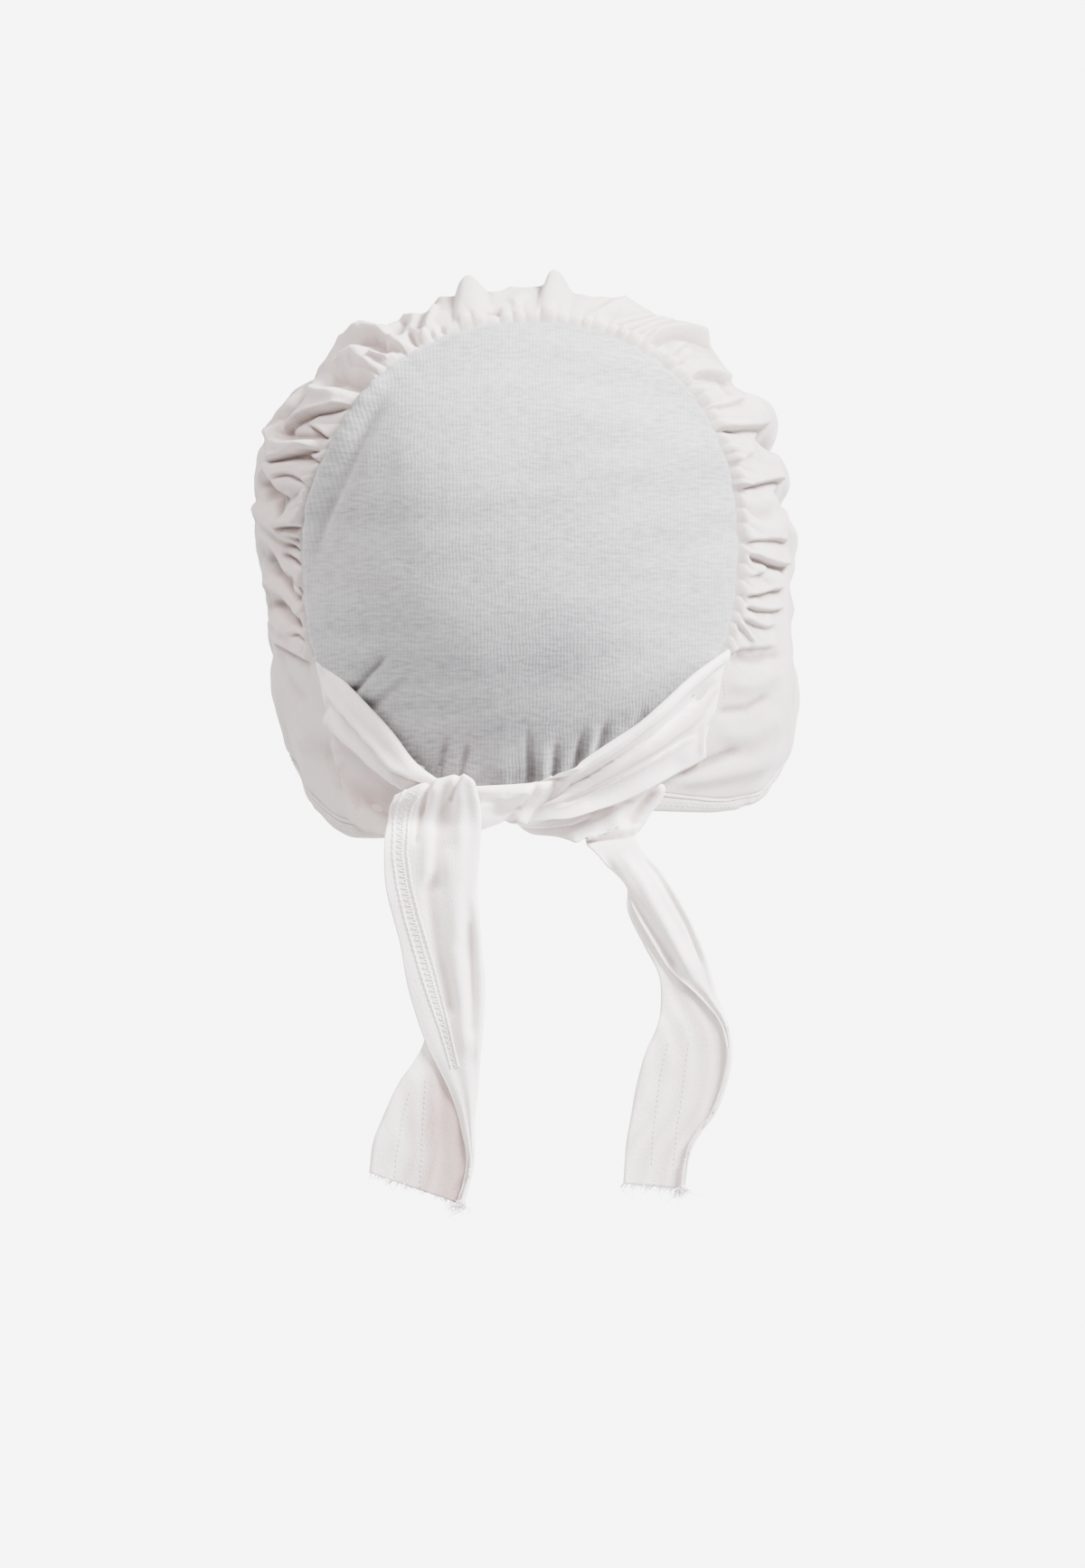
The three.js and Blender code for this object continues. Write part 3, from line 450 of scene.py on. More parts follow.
def grid_mesh(name, pts, uv, loop=False, wall=0.0, extra_painted_shade=0.0):
    """A mesh from rows of points, with its flat place in millimetres as UVs. With a wall it is a
    closed sheet of that thickness, which faces away from the rows' own normals."""
    rows, cols = pts.shape[:2]
    quads = grid_quads(rows, cols, loop)
    verts, uvs = pts.reshape(-1, 3), uv.reshape(-1, 2)
    # Painted shade for the colour: how deep each point lies in a fold, plus any extra painted shade given.
    shade = hollows(pts[:, ::-1])[:, ::-1] if wall else hollows(pts, loop)
    shade = np.clip(shade + extra_painted_shade, 0, 1.6).ravel()
    if wall:
        count = len(verts)
        verts = np.vstack([verts, (pts + grid_normals(pts) * wall).reshape(-1, 3)])
        uvs = np.vstack([uvs, uvs])
        shade = np.concatenate([shade, shade])
        ids = np.arange(count).reshape(rows, cols)
        ring = np.concatenate([ids[0], ids[1:, -1], ids[-1, -2::-1], ids[-2:0:-1, 0]])
        after = np.roll(ring, -1)
        sides = np.stack([after + count, ring + count, ring, after], -1)
        quads = np.vstack([quads[:, ::-1], quads + count, sides])
    return raw_mesh(name, verts, quads, uvs, shade)


def grid_normals(pts, loop=False):
    if loop:
        du = np.roll(pts, -1, axis=1) - np.roll(pts, 1, axis=1)
    else:
        du = np.gradient(pts, axis=1)
    dv = np.gradient(pts, axis=0)
    return unit(np.cross(du, dv))


def raw_mesh(name, verts, faces, uvs=None, shade=None):
    mesh = bpy.data.meshes.new(name)
    faces = np.asarray(faces)
    size = faces.shape[1]
    mesh.vertices.add(len(verts))
    mesh.vertices.foreach_set("co", (np.asarray(verts) * MM).astype(np.float32).ravel())
    mesh.loops.add(faces.size)
    mesh.loops.foreach_set("vertex_index", faces.astype(np.int32).ravel())
    mesh.polygons.add(len(faces))
    mesh.polygons.foreach_set("loop_start", (np.arange(len(faces)) * size).astype(np.int32))
    mesh.polygons.foreach_set("loop_total", np.full(len(faces), size, np.int32))
    mesh.update(calc_edges=True)
    mesh.polygons.foreach_set("use_smooth", np.ones(len(faces), bool))
    if uvs is not None:
        layer = mesh.uv_layers.new(name="cloth")
        layer.data.foreach_set("uv", (np.asarray(uvs)[faces.ravel()] * 0.01).astype(np.float32).ravel())
    # The painted shade is kept on each point, for the material's colour.
    if shade is not None:
        mesh.attributes.new("painted_shade", "FLOAT", "POINT").data.foreach_set("value", shade.astype(np.float32))
    mesh.validate()
    obj = bpy.data.objects.new(name, mesh)
    bpy.context.scene.collection.objects.link(obj)
    return obj


def smooth_grid(pts):
    """Evens out a grid of points a little, leaving its border where it is."""
    even = pts.copy()
    around = pts[1:-1, :-2] + pts[1:-1, 2:] + pts[:-2, 1:-1] + pts[2:, 1:-1]
    even[1:-1, 1:-1] = pts[1:-1, 1:-1] / 2 + around / 8
    return even


def arc_uv(pts):
    """A flat place for each grid point: the mean length along its row and down its column."""
    du = np.linalg.norm(np.diff(pts, axis=1), axis=-1)
    dv = np.linalg.norm(np.diff(pts, axis=0), axis=-1)
    u = np.zeros(pts.shape[:2])
    v = np.zeros(pts.shape[:2])
    u[:, 1:] = np.cumsum(du, axis=1)
    u -= u.mean(axis=1, keepdims=True)
    v[1:] = np.cumsum(dv, axis=0)
    return np.stack([u, v], axis=-1)


# Lines drawn on the cloth
def line_distance(x, z, line):
    """Distance to a line, positive on its left, and how far along it the nearest place is."""
    best = np.full(x.shape, 1e9)
    side = np.ones(x.shape)
    along = np.zeros(x.shape)
    line = np.reshape(np.asarray(line, float), (-1, 2))
    steps = np.linalg.norm(np.diff(line, axis=0), axis=1)
    starts = np.concatenate([[0], np.cumsum(steps)])
    for i in range(len(line) - 1):
        a, b = line[i], line[i + 1]
        ab = b - a
        t = np.clip(((x - a[0]) * ab[0] + (z - a[1]) * ab[1]) / (ab @ ab), 0, 1)
        dist = np.hypot(x - a[0] - t * ab[0], z - a[1] - t * ab[1])
        closer = dist < best
        best = np.where(closer, dist, best)
        side = np.where(closer, np.sign(ab[0] * (z - a[1]) - ab[1] * (x - a[0])), side)
        along = np.where(closer, (starts[i] + t * steps[i]) / starts[-1], along)
    return best * side, along


def swell_relief(x, z, swells, fade=0.22):
    total = np.zeros(x.shape)
    for height, width, *line in swells:
        dist, along = line_distance(x, z, line)
        ends = ease(along, 0, fade) * (1 - ease(along, 1 - fade, 1))
        total += height * np.exp(-((dist / width) ** 2)) * (0.12 + 0.88 * ends) * (np.abs(dist) < width * 3)
    return total


def lap_relief(x, z, laps, fade=0.2):
    total = np.zeros(x.shape)
    for lift, reach, dip, width, *line in laps:
        dist, along = line_distance(x, z, line)
        ends = ease(along, 0, fade) * (1 - ease(along, 1 - fade, 1))
        over = lift * np.exp(-((np.maximum(dist, 0) / reach) ** 1.3))
        under = -dip * np.exp(-np.maximum(-dist, 0) / width)
        blend = ease(dist, -0.35, 0.35)
        total += (over * blend + under * (1 - blend)) * ends
    return total


def pleat_relief(x, z):
    total = np.zeros(x.shape)
    for foot_x, foot_z, tip_x, tip_z, left, right, low, high in PLEATS:
        t = np.clip((z - foot_z) / (tip_z - foot_z), -0.2, 1.4)
        offset = x - (foot_x + (tip_x - foot_x) * t)
        narrow = 1 - 0.32 * ease(t, 0.3, 1.1)
        share = np.where(offset < 0, -offset / left, offset / right) / narrow
        steep = np.clip(1 - share**2.6, 0, 1)
        round_side = np.cos(np.clip(share, 0, 1) * np.pi / 2) ** 1.5
        shape = np.where(offset < 0, steep, round_side)
        total += (low + (high - low) * ease(t, 0.1, 1.0)) * shape * ease(t, -0.18, 0.1)
    return total


# The ruched band
def swell_at(clock, d, length):
    """How far the band and its hem stand off the head form before any fold."""
    outline = table_curve(BAND_OUTLINE[:, 0], BAND_OUTLINE[:, 1], clock)
    broad = np.zeros(clock.shape)
    weights = 0
    for shift in range(-18, 19, 3):
        w = math.exp(-((shift / 10) ** 2))
        beside = np.clip(clock + shift, -154, 154)
        broad = broad + w * table_curve(BAND_OUTLINE[:, 0], BAND_OUTLINE[:, 1], beside)
        weights += w
    broad = broad / weights
    lobes = outline - broad
    near_hem = 1 - 0.45 * ease(d, 80, 125)
    height = broad * ease(d, 0, 42) * near_hem
    height += lobes * ease(d, 10, 44) * (1 - 0.85 * ease(d, 74, 112))
    for flare in FLARES:
        lift = bump(clock - flare["clock"], flare["width"]) * flare["height"]
        height += lift * ease(d, length - flare["reach"], length)
    return height


def hem_drop(pts):
    """How far the hem hangs lower beside the left tie."""
    x, y, z = pts[..., 0], pts[..., 1], pts[..., 2]
    drop = LEFT_HEM_DROP * ease(x, -78, -56) * (1 - ease(x, -40, -20))
    return drop * ease(-z, 138, 167) * (1 - ease(y, -40, 0))


def make_band():
    clock_line = np.linspace(-HEM["nape_clock"], HEM["nape_clock"], GRID["band"])
    near = np.linspace(0, 0.10, 18, endpoint=False)
    mid = np.linspace(0.10, 0.44, 40, endpoint=False)
    far = np.linspace(0.44, 1.0, 28)
    clock, share = np.meshgrid(clock_line, np.concatenate([near, mid, far]))
    length = np.broadcast_to(run_length(clock_line), clock.shape)
    hem_top = length - HEM["width"]
    d = -CLOTH["under_seam"] + share * (hem_top + CLOTH["under_seam"] + CLOTH["hem_tuck"])
    base = run_points(clock, d / length)
    normal = outward(base)
    height = CLOTH["lift"] + swell_at(clock, d, length) - 2.4 * (1 - ease(d, -CLOTH["under_seam"], 0.9))
    spot = base + normal * height[..., None]
    x, z = spot[..., 0], spot[..., 2]
    # Folds that the view from behind shows, fading as they run forward out of it
    seen = 1 - ease(base[..., 1], -12, 46)
    at_seam = ease(d, -1.0, 1.0)
    clear = 1 - ease(d, length - 18, length - 8)
    height += FOLD_GAIN * seen * at_seam * clear * (lap_relief(x, z, LAPS) + swell_relief(x, z, SWELLS))
    height += (1 - ease(d, 46, 92)) * at_seam * pleat_relief(x, z) * (np.abs(clock) < 60)
    # Fine gathers where the band is sewn to the crown panel
    last = PUCKER["last_clock"]
    fine_at = -last + np.cumsum(rng.uniform(*PUCKER["step"], PUCKER["most"]))
    fine_at = fine_at[fine_at < last]
    fine_height = rng.uniform(*PUCKER["height"], len(fine_at) + 1)
    fine_reach = rng.uniform(*PUCKER["reach"], len(fine_at) + 1)
    k = np.searchsorted(fine_at, clock)
    left = np.concatenate([[-last - 2], fine_at])[k]
    right = np.concatenate([fine_at, [last + 2]])[k]
    across = np.clip((clock - left) / (right - left), 0, 1)
    pucker = (4 * across * (1 - across)) ** 0.7 * fine_height[k]
    pucker *= np.interp(clock, GATHERS[:, 0], GATHERS[:, 1])
    reach = np.exp(-np.maximum(d, 0) / fine_reach[k]) * 1.3 + 0.7 * np.exp(-np.maximum(d, 0) / 2.2)
    height += pucker * ease(d, -1.1, 0.6) * reach
    # Long soft folds that carry on over the top and sides towards the face
    ridged = 1 - np.abs(flat_noise(clock / 6.5, d / 60.0, 41))
    finer = 1 - np.abs(flat_noise(clock / 3.1 + d * 0.01, d / 40.0, 43))
    zone = ease(base[..., 1], -50, 0) * (1 - ease(d, 70, 118)) * (1 - ease(np.abs(clock), 92, 118))
    height += zone * (2.6 * (ridged - 0.6) + 1.2 * (finer - 0.6))
    rough = value_noise(np.stack([x / 9.0, z / 9.0, base[..., 1] / 14.0], -1), 3)
    height += 0.30 * rough * ease(d, 2, 12)
    # The last two millimetres tuck in between the hem's two layers
    height -= 0.8 * ease(d, hem_top - 0.6, hem_top + 0.8)
    pts = base + normal * height[..., None]
    pts[..., 2] -= hem_drop(pts)
    pts = smooth_grid(pts)
    return grid_mesh("ruched_band", pts, arc_uv(pts)), pts


# The crown panel
CROWN_SWELLS = [
    # height, width, then the line
    (-1.5, 1.6, -60, -138, -53, -129, -44, -120), (-0.9, 2.4, -56, -143, -45, -133, -36, -127),
    (-1.2, 1.6, -28, -172, -28, -158, -26, -145), (-1, 1.4, -21, -172, -21, -158, -19, -147),
    (-2, 1.2, 1, -174, 1, -160, 0, -144), (-1.3, 1.3, 7, -174, 8, -160, 9.5, -148),
    (-1.4, 1.5, 13, -174, 15, -158, 18, -145), (-1.2, 1.7, 20, -170, 21.5, -155, 26, -141),
    (-0.8, 2.2, 30, -162, 33, -149, 39, -136),
    (-1.8, 2.4, -43, -34, -51, -47, -59, -64, -66, -79, -70.5, -97),
    (-0.45, 5, -48, -40, -45.6, -66, -44, -86, -31, -102),
    (2.6, 3.6, -40, -24, -51, -38, -62, -55, -69, -70, -72.5, -90),
    (1, 2, 4, -174, 4.6, -160, 5.4, -147), (0.6, 4, -11, -174, -9.6, -160, -8, -146),
    (1, 2, 17, -172, 18.5, -156, 22, -142),
]


def crown_height(x, z, share, clock):
    inset = (1 - share) * CROWN["side"]
    height = CLOTH["lift"] + swell_relief(x, z, CROWN_SWELLS, 0.3)
    at_ties = ease(np.abs(clock), 138, 150)
    height -= 1.3 * (1 - ease(inset, 0, 2.6)) * (1 - at_ties)
    height += 1.3 * at_ties * (1 - ease(inset, -2, 9))
    scallop = flat_noise(clock / 2.4, inset / 9.0, 11)
    height += 0.35 * scallop * np.exp(-inset / 4.5)
    height += 0.4 * flat_noise(x / 22, z / 30, 5)
    return height


def make_crown():
    cols = np.linspace(-180, 180, GRID["crown"], endpoint=False)
    shares = 1 - (1 - np.linspace(0.0, 1, GRID["rings"])) ** 1.25
    clock, share = np.meshgrid(cols, shares)
    share = share * (1 + 0.045 * ease(np.abs(clock), 118, 135) + 0.03 * ease(np.abs(clock), 138, 152))
    x, z = crown_spot(clock, share)
    base = back_of_head(x, z)
    pts = base + outward(base) * crown_height(x, z, share, clock)[..., None]
    uv = np.stack([x, z], axis=-1)
    obj = grid_mesh("crown_cloth", pts, uv, loop=True)
    shell = bmesh.new()
    shell.from_mesh(obj.data)
    bmesh.ops.remove_doubles(shell, verts=shell.verts, dist=1e-7)
    shell.to_mesh(obj.data)
    shell.free()
    return obj, pts


# The hems
def make_hem(name, start_clock, end_clock, count, start_of, rows, follow=True):
    clock = np.linspace(start_clock, end_clock, count)
    length = run_length(clock)
    pts = []
    for share, lift in rows:
        start = start_of(length)
        d = start + (length - start) * share
        base = run_points(clock, d / length)
        height = swell_at(clock, d, length) + lift if follow else lift + 0 * d
        height = height + 0.3 * flat_noise(clock / 3.0, np.full_like(clock, share), 21)
        pts.append(base + outward(base) * height[..., None])
    pts = np.array(pts)
    if follow:
        pts[..., 2] -= hem_drop(pts)
    return grid_mesh(name, pts, arc_uv(pts)), pts


HEM_ROUND = [
    # share of the hem's width, lift off the head form
    (0.0, 0.3), (0.0, 1.1), (0.03, 1.35), (0.10, 1.45), (0.17, 1.4), (0.20, 1.0), (0.23, 1.4), (0.35, 1.55),
    (0.55, 1.6), (0.75, 1.65), (0.9, 1.55), (0.98, 1.2), (1.02, 0.5), (1.0, -0.1), (0.95, -0.4), (0.9, -0.5),
    (0.5, -0.5), (0.05, -0.4),
]
CASING_ROUND = [(share, min(lift, 1.2)) for share, lift in HEM_ROUND]


# The ties
def tie_columns(rows):
    """For each section its place, folded edge, layer widths, height off the nape, whether it lies
    on the cap, tilt and thickness."""
    out = []
    for zone, sections in rows.items():
        for x, z, front, back, layer, tilt, thick in sections:
            out.append((len(out), KNOT["x"] + x * TIE[zone], KNOT["z"] + z * TIE[zone],
                        front * TIE["width"], back * TIE["width"], TIE["lift"] + layer * KNOT["layer"],
                        0.0 if zone == "tail" else 1.0, tilt, thick * TIE["wall"]))
    return np.array(out)


def nearest_cloth(x, z, trees):
    """The nearest place on the cloth in the view from behind, and its normal."""
    hits = [tree.ray_cast(Vector((x, FAR_BEHIND, z)), Vector((0, 1, 0)))[:2] for tree in trees]
    hits = [hit for hit in hits if hit[0] is not None]
    return min(hits, key=lambda hit: hit[0].y) if hits else None


def cloth_depths(x, z, trees):
    """How far back, in y, the nearest cloth lies under each point of the view from behind."""
    found = [nearest_cloth(px, pz, trees) for px, pz in zip(x.ravel(), z.ravel())]
    return np.reshape([hit[0].y if hit else np.inf for hit in found], x.shape)


def tree_of(pts, loop=False):
    quads = grid_quads(*pts.shape[:2], loop)
    return BVHTree.FromPolygons(pts.reshape(-1, 3).tolist(), quads.tolist())


def tie_surface(rows, folds, relief, droop, trees):
    laps, swells, knot_laps, knot_swells = folds
    front_count = GRID["tie_front"]
    table = tie_columns(rows)
    place = np.linspace(0, len(table) - 1, GRID["tie"])

    def column(k):
        return table_curve(table[:, 0], table[:, k], place)[:, None]

    x, z, front, back, out, hug, tilt, thick = [column(k) for k in range(1, 9)]
    tilt = np.radians(tilt)
    turned = TIE["turned"] + thick
    near = turned / 2
    f = np.linspace(1, 0, front_count, endpoint=False)[None, :]
    inset_front = front * f + near * (1 - f)
    bend = np.linspace(0, np.pi, 9)[None, 1:-1]
    inset_bend = near * (1 - np.sin(bend))
    deep_bend = turned * (1 - np.cos(bend)) / 2
    g = np.linspace(0, 1, GRID["tie_back"])[None, :]
    inset_back = near + (np.maximum(back, near) - near) * g
    inset = np.concatenate([inset_front, inset_bend, inset_back], axis=1)
    deep = np.concatenate([0 * inset_front, deep_bend, turned + 0 * inset_back], axis=1)
    share = np.clip(inset / np.maximum(front, 1), 0, 1)
    sx = x - np.cos(tilt) * inset
    hang = droop * ease(place, 10, 12) * (1 - ease(place, 13, 15.5))
    sz = z - np.sin(tilt) * inset - hang[:, None] * share**2
    on = back_of_head(sx, np.maximum(sz, -HEM["depth"]))
    away = out / np.maximum(-outward(on)[..., 1], 0.4)
    knot_y = back_of_head(np.array(KNOT["x"]), np.array(KNOT["z"]))[1]
    hug = np.clip(hug, 0, 1)
    lying = on[..., 1] - away
    strap = (place < STRAP_END)[:, None] & (hug > 0.5)
    under = np.where(strap, lying, np.inf)
    picked = strap[:, 0]
    under[picked] = cloth_depths(sx[picked], sz[picked], trees)
    clear = under - 0.5
    under = np.where(np.isfinite(under), under, lying)
    sewn = 1 - ease(place, 0.0, 1.3)[:, None]
    rest = np.minimum(lying, under - 2.2)
    lying = np.where(strap, rest * (1 - sewn) + (under - 0.7) * sewn, lying)
    lying = smooth_rows(lying, 12, across=True)
    sy = smooth_rows((knot_y - out) * (1 - hug) + lying * hug, 110)
    pts = np.stack([sx, sy, sz], axis=-1)
    along = np.gradient(pts, axis=0)
    side = (pts[:, front_count + 3] - pts[:, 0])[:, None, :]
    middle = along[:, front_count // 2][:, None, :]
    normal = unit(np.cross(side + 0 * pts, middle + 0 * pts))
    pts = pts + normal * deep[..., None]
    lift = relief(np.broadcast_to(place[:, None], inset.shape), inset, front, deep / turned)
    strap_zone = 1 - ease(place, 4.6, 6.0)
    knot_zone = ease(place, 5.0, 6.5)
    for zone, lap, swell in ((strap_zone, laps, swells), (knot_zone, knot_laps, knot_swells)):
        zone = FOLD_GAIN * zone[:, None] * (1 - deep / turned)
        lift = lift + zone * (lap_relief(sx, sz, lap, 0.12) + swell_relief(sx, sz, swell, 0.12))
    room = 1.4 - 1.1 * sewn
    lift = np.where(place[:, None] < STRAP_END, np.maximum(lift, -room), lift)
    pts = pts - normal * lift[..., None]
    # The outer face never sinks into the cloth that it lies on.
    pts[..., 1] = np.where(deep < 0.5 * turned, np.minimum(pts[..., 1], clear), pts[..., 1])
    return pts, place


def smooth_rows(values, times, across=False):
    for _ in range(times):
        values[1:-1] = (values[:-2] + values[2:] + 2 * values[1:-1]) / 4
        if across:
            values[:, 1:-1] = (values[:, :-2] + values[:, 2:] + 2 * values[:, 1:-1]) / 4
    return values


def panel_wales(place, inset, deep, tail):
    """Soft lengthwise ridges of the turned panel that each tail shows low down."""
    return deep * tail * 0.16 * np.sin(inset * 0.95 + 1.4 * np.sin(place * 0.6))


def right_relief(place, inset, front, deep):
    """Lengthwise folds of the right tie, with the place along it and the inset from its fold."""
    share = inset / np.maximum(front, 1)
    arch = bump(place - 14.3, 3.2)
    lift = arch * (0.30 * np.cos(share * 16.0 + 0.7) + 0.2 * np.cos(share * 29.0)) * (1 - deep)
    tail = ease(place, 15, 17)
    lift += tail * (1 - deep) * (0.5 * np.sin(share * 5.5 - 0.6) + 0.25 * np.sin(share * 13 + place * 0.8))
    lift += panel_wales(place, inset, deep, tail)
    return lift


def left_relief(place, inset, front, deep):
    share = inset / np.maximum(front, 1)
    roll = ease(place, 4.4, 5.2) * (1 - ease(place, 9.0, 10.5))
    lift = roll * 1.3 * np.sin(np.clip(share, 0, 1) * np.pi)
    tail = ease(place, 15, 17)
    lift += tail * 0.35 * np.sin(np.clip(share, 0, 1) * 9.0 + place * 0.5) * (1 - deep)
    lift += panel_wales(place, inset, deep, tail)
    return lift


def make_tie(name, rows, folds, relief, droop, trees):
    pts, place = tie_surface(rows, folds, relief, droop, trees)
    pts = smooth_grid(pts)
    wob = value_noise(pts / 9.0, 31)
    pts = pts + grid_normals(pts) * (0.25 * wob)[..., None]
    uv = arc_uv(pts)
    span = uv[:, -1:, 0] - uv[:, :1, 0]
    uv[..., 0] = (uv[..., 0] - uv[:, :1, 0]) / span * span.mean()
    # Painted shade on each tail's turned panel: strongest beside the fold from partway down the tail, and
    # below nothing towards the free edge, where it takes away some of the painted fold shade.
    inner = np.zeros(pts.shape[:2])
    across = np.linspace(0, 1, inner.shape[1] - PANEL_COLUMN)[None, :]
    along = (ease(place, 17.0, 19.0) * (1 - 0.35 * ease(place, 21.0, 25.0)))[:, None]
    inner[:, PANEL_COLUMN:] = PANEL_SHADE[name] * along * (1 - 1.4 * across**1.6)
    # Painted shadow on the left strap below its second lap, where the fold above hangs over it.
    if name == "left_tie_cloth":
        under, _ = line_distance(pts[..., 0], pts[..., 2], LEFT_LAPS[1][4:])
        inner += TUCKED_SHADE * ease(-under, -0.4, 3.0) * (1 - ease(place, 3.2, 4.6))[:, None]
    return grid_mesh(name, pts, uv, wall=CLOTH["tie_wall"], extra_painted_shade=inner), pts


# Cloth materials
def fill(tree, n, inputs):
    """Sets a node's inputs, or links those that are given another node's output."""
    for key, value in inputs.items():
        if isinstance(value, bpy.types.NodeSocket):
            tree.links.new(value, n.inputs[key])
        else:
            n.inputs[key].default_value = value


def node(tree, kind, inputs, **values):
    n = tree.nodes.new(kind)
    for key, value in values.items():
        setattr(n, key, value)
    fill(tree, n, inputs)
    return n


def material(name, inputs):
    mat = bpy.data.materials.new(name)
    mat.use_nodes = True
    surface = mat.node_tree.nodes["Principled BSDF"]
    fill(mat.node_tree, surface, inputs)
    return mat, mat.node_tree, surface


def jersey(name, colour, shade, rib, mottle, fold_shade, streak=3.0, rib_width=1.1, broad_share=0.9):
    """Fine knitted jersey: ribs along the cloth, rows across them, and a soft mottle."""
    mat, tree, surface = material(name, {
        "Roughness": 0.92, "Specular IOR Level": 0.2, "Sheen Weight": 0.25, "Sheen Roughness": 0.55,
        "Subsurface Weight": 0.12, "Subsurface Radius": (1.0, 0.8, 0.75), "Subsurface Scale": 0.0025,
    })

    def maths(operation, *values):
        return node(tree, "ShaderNodeMath", dict(enumerate(values)), operation=operation).outputs[0]

    def times(value, factor):
        return maths("MULTIPLY", value, factor)

    def noise(vector, scale, detail, roughness=0.5):
        inputs = {"Vector": vector, "Scale": scale, "Detail": detail, "Roughness": roughness}
        return node(tree, "ShaderNodeTexNoise", inputs).outputs[0]

    uv = node(tree, "ShaderNodeUVMap", {}, uv_map="cloth").outputs[0]
    flat = node(tree, "ShaderNodeVectorMath", {0: uv, "Scale": 100.0}, operation="SCALE").outputs[0]
    place = node(tree, "ShaderNodeSeparateXYZ", {0: flat}).outputs
    # Ribs wander a little, so that they never look ruled.
    wander = times(noise(flat, 0.12, 1.0), 1.6)
    ribs = maths("SINE", times(maths("ADD", place[0], wander), 2 * math.pi / rib_width))
    rows = maths("SINE", times(place[1], 2 * math.pi / 0.9))
    knit = maths("ADD", ribs, times(rows, 0.12))
    # Mottle of a heathered yarn, drawn out along the rows
    stretch = node(tree, "ShaderNodeMapping", {"Vector": flat, "Scale": (1.0 / streak, 1.0, 1.0)}).outputs[0]
    tone = maths("ADD", times(noise(stretch, 1.1, 3.0), 0.6), times(noise(stretch, 0.10, 4.0), broad_share))
    tone = times(maths("SUBTRACT", tone, 0.3 + broad_share / 2), mottle * 7)
    tone = maths("ADD", maths("ADD", tone, 0.5), times(ribs, 0.10 * rib))
    ramp = node(tree, "ShaderNodeValToRGB", {0: tone})
    low, high = ramp.color_ramp.elements
    low.color, high.color = (*shade, 1), (*colour, 1)
    low.position, high.position = 0.1, 0.75
    # Painted shade: the colour darkens to a warm tint where the mesh's painted shade is high, in folds, under
    # the left tie's lap and on the tails' turned panels.
    painted_shade = node(tree, "ShaderNodeAttribute", {}, attribute_name="painted_shade").outputs["Fac"]
    tint = (*[c * t for c, t in zip(shade, PAINTED_SHADE_TINT)], 1)
    inputs = {0: times(painted_shade, fold_shade), 6: ramp.outputs[0], 7: tint}
    deep = node(tree, "ShaderNodeMix", inputs, data_type="RGBA").outputs[2]
    relief = maths("ADD", times(knit, 0.5 * rib), times(noise(flat, 0.95, 4.0, 0.65), 2.2))
    bumps = node(tree, "ShaderNodeBump", {"Strength": 0.55, "Distance": 0.00016, "Height": relief}).outputs[0]
    fill(tree, surface, {"Base Color": deep, "Normal": bumps})
    return mat


def thread(name, colour):
    mat, tree, surface = material(name, {"Roughness": 0.8, "Sheen Weight": 0.2})
    coords = node(tree, "ShaderNodeTexCoord", {}).outputs["Object"]
    noise = node(tree, "ShaderNodeTexNoise", {"Vector": coords, "Scale": 900.0}).outputs[0]
    ramp = node(tree, "ShaderNodeValToRGB", {0: noise})
    low, high = ramp.color_ramp.elements
    low.color, high.color = (*[c * 0.86 for c in colour], 1), (*colour, 1)
    fill(tree, surface, {"Base Color": ramp.outputs[0]})
    return mat


CROWN_MAT = jersey("crown_jersey_cloth", (0.40, 0.40, 0.42), (0.19, 0.19, 0.20), 0.7, 0.26, 0.5,
                   streak=4.0, broad_share=0.4)
BAND_MAT = jersey("band_jersey_cloth", (0.63, 0.565, 0.55), (0.51, 0.445, 0.43), 0.3, 0.13, 0.72,
                  rib_width=0.8)
TIE_MAT = jersey("tie_jersey_cloth", (0.93, 0.86, 0.845), (0.83, 0.745, 0.73), 0.3, 0.13, 0.62,
                 rib_width=0.8)
THREAD_MAT = thread("sewing_thread", (0.70, 0.64, 0.63))
OVERLOCK_MAT = thread("overlock_thread", (0.90, 0.87, 0.86))


def finish_piece(obj, mat, slot, *nodes):
    obj.data.materials.append(mat)
    if nodes:
        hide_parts(*nodes)
    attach(obj, "root")


crown, crown_pts = make_crown()
finish_piece(crown, CROWN_MAT, "crown_jersey", "crown_panel")

band, band_pts = make_band()
finish_piece(band, BAND_MAT, "band_jersey", "gathered_band")

edge, edge_pts = make_hem("turned_edge_hem", -HEM["nape_clock"], HEM["nape_clock"], GRID["hem"],
                          lambda length: length - HEM["width"], HEM_ROUND)
finish_piece(edge, BAND_MAT, "band_jersey", "edge_hem")

nape_from = HEM["nape_clock"] + 0.65
nape, nape_pts = make_hem("nape_casing", nape_from, 360 - nape_from, GRID["casing"],
                          lambda length: 0.8 + 0 * length, CASING_ROUND, follow=False)
finish_piece(nape, CROWN_MAT, "crown_jersey", "nape_hem")

under_ties = [tree_of(band_pts), tree_of(crown_pts, True), tree_of(nape_pts), tree_of(edge_pts)]
LEFT_FOLDS = (LEFT_LAPS, LEFT_SWELLS, FAN_LAPS, FAN_SWELLS)
RIGHT_FOLDS = (RIGHT_LAPS, RIGHT_SWELLS, [], ARCH_SWELLS)
left, left_pts = make_tie("left_tie_cloth", LEFT_TIE, LEFT_FOLDS, left_relief, 0.0, under_ties)
finish_piece(left, TIE_MAT, "tie_jersey", "left_tie")
right, right_pts = make_tie("right_tie_cloth", RIGHT_TIE, RIGHT_FOLDS, right_relief, ARCH_DROOP, under_ties)
finish_piece(right, TIE_MAT, "tie_jersey", "right_tie")


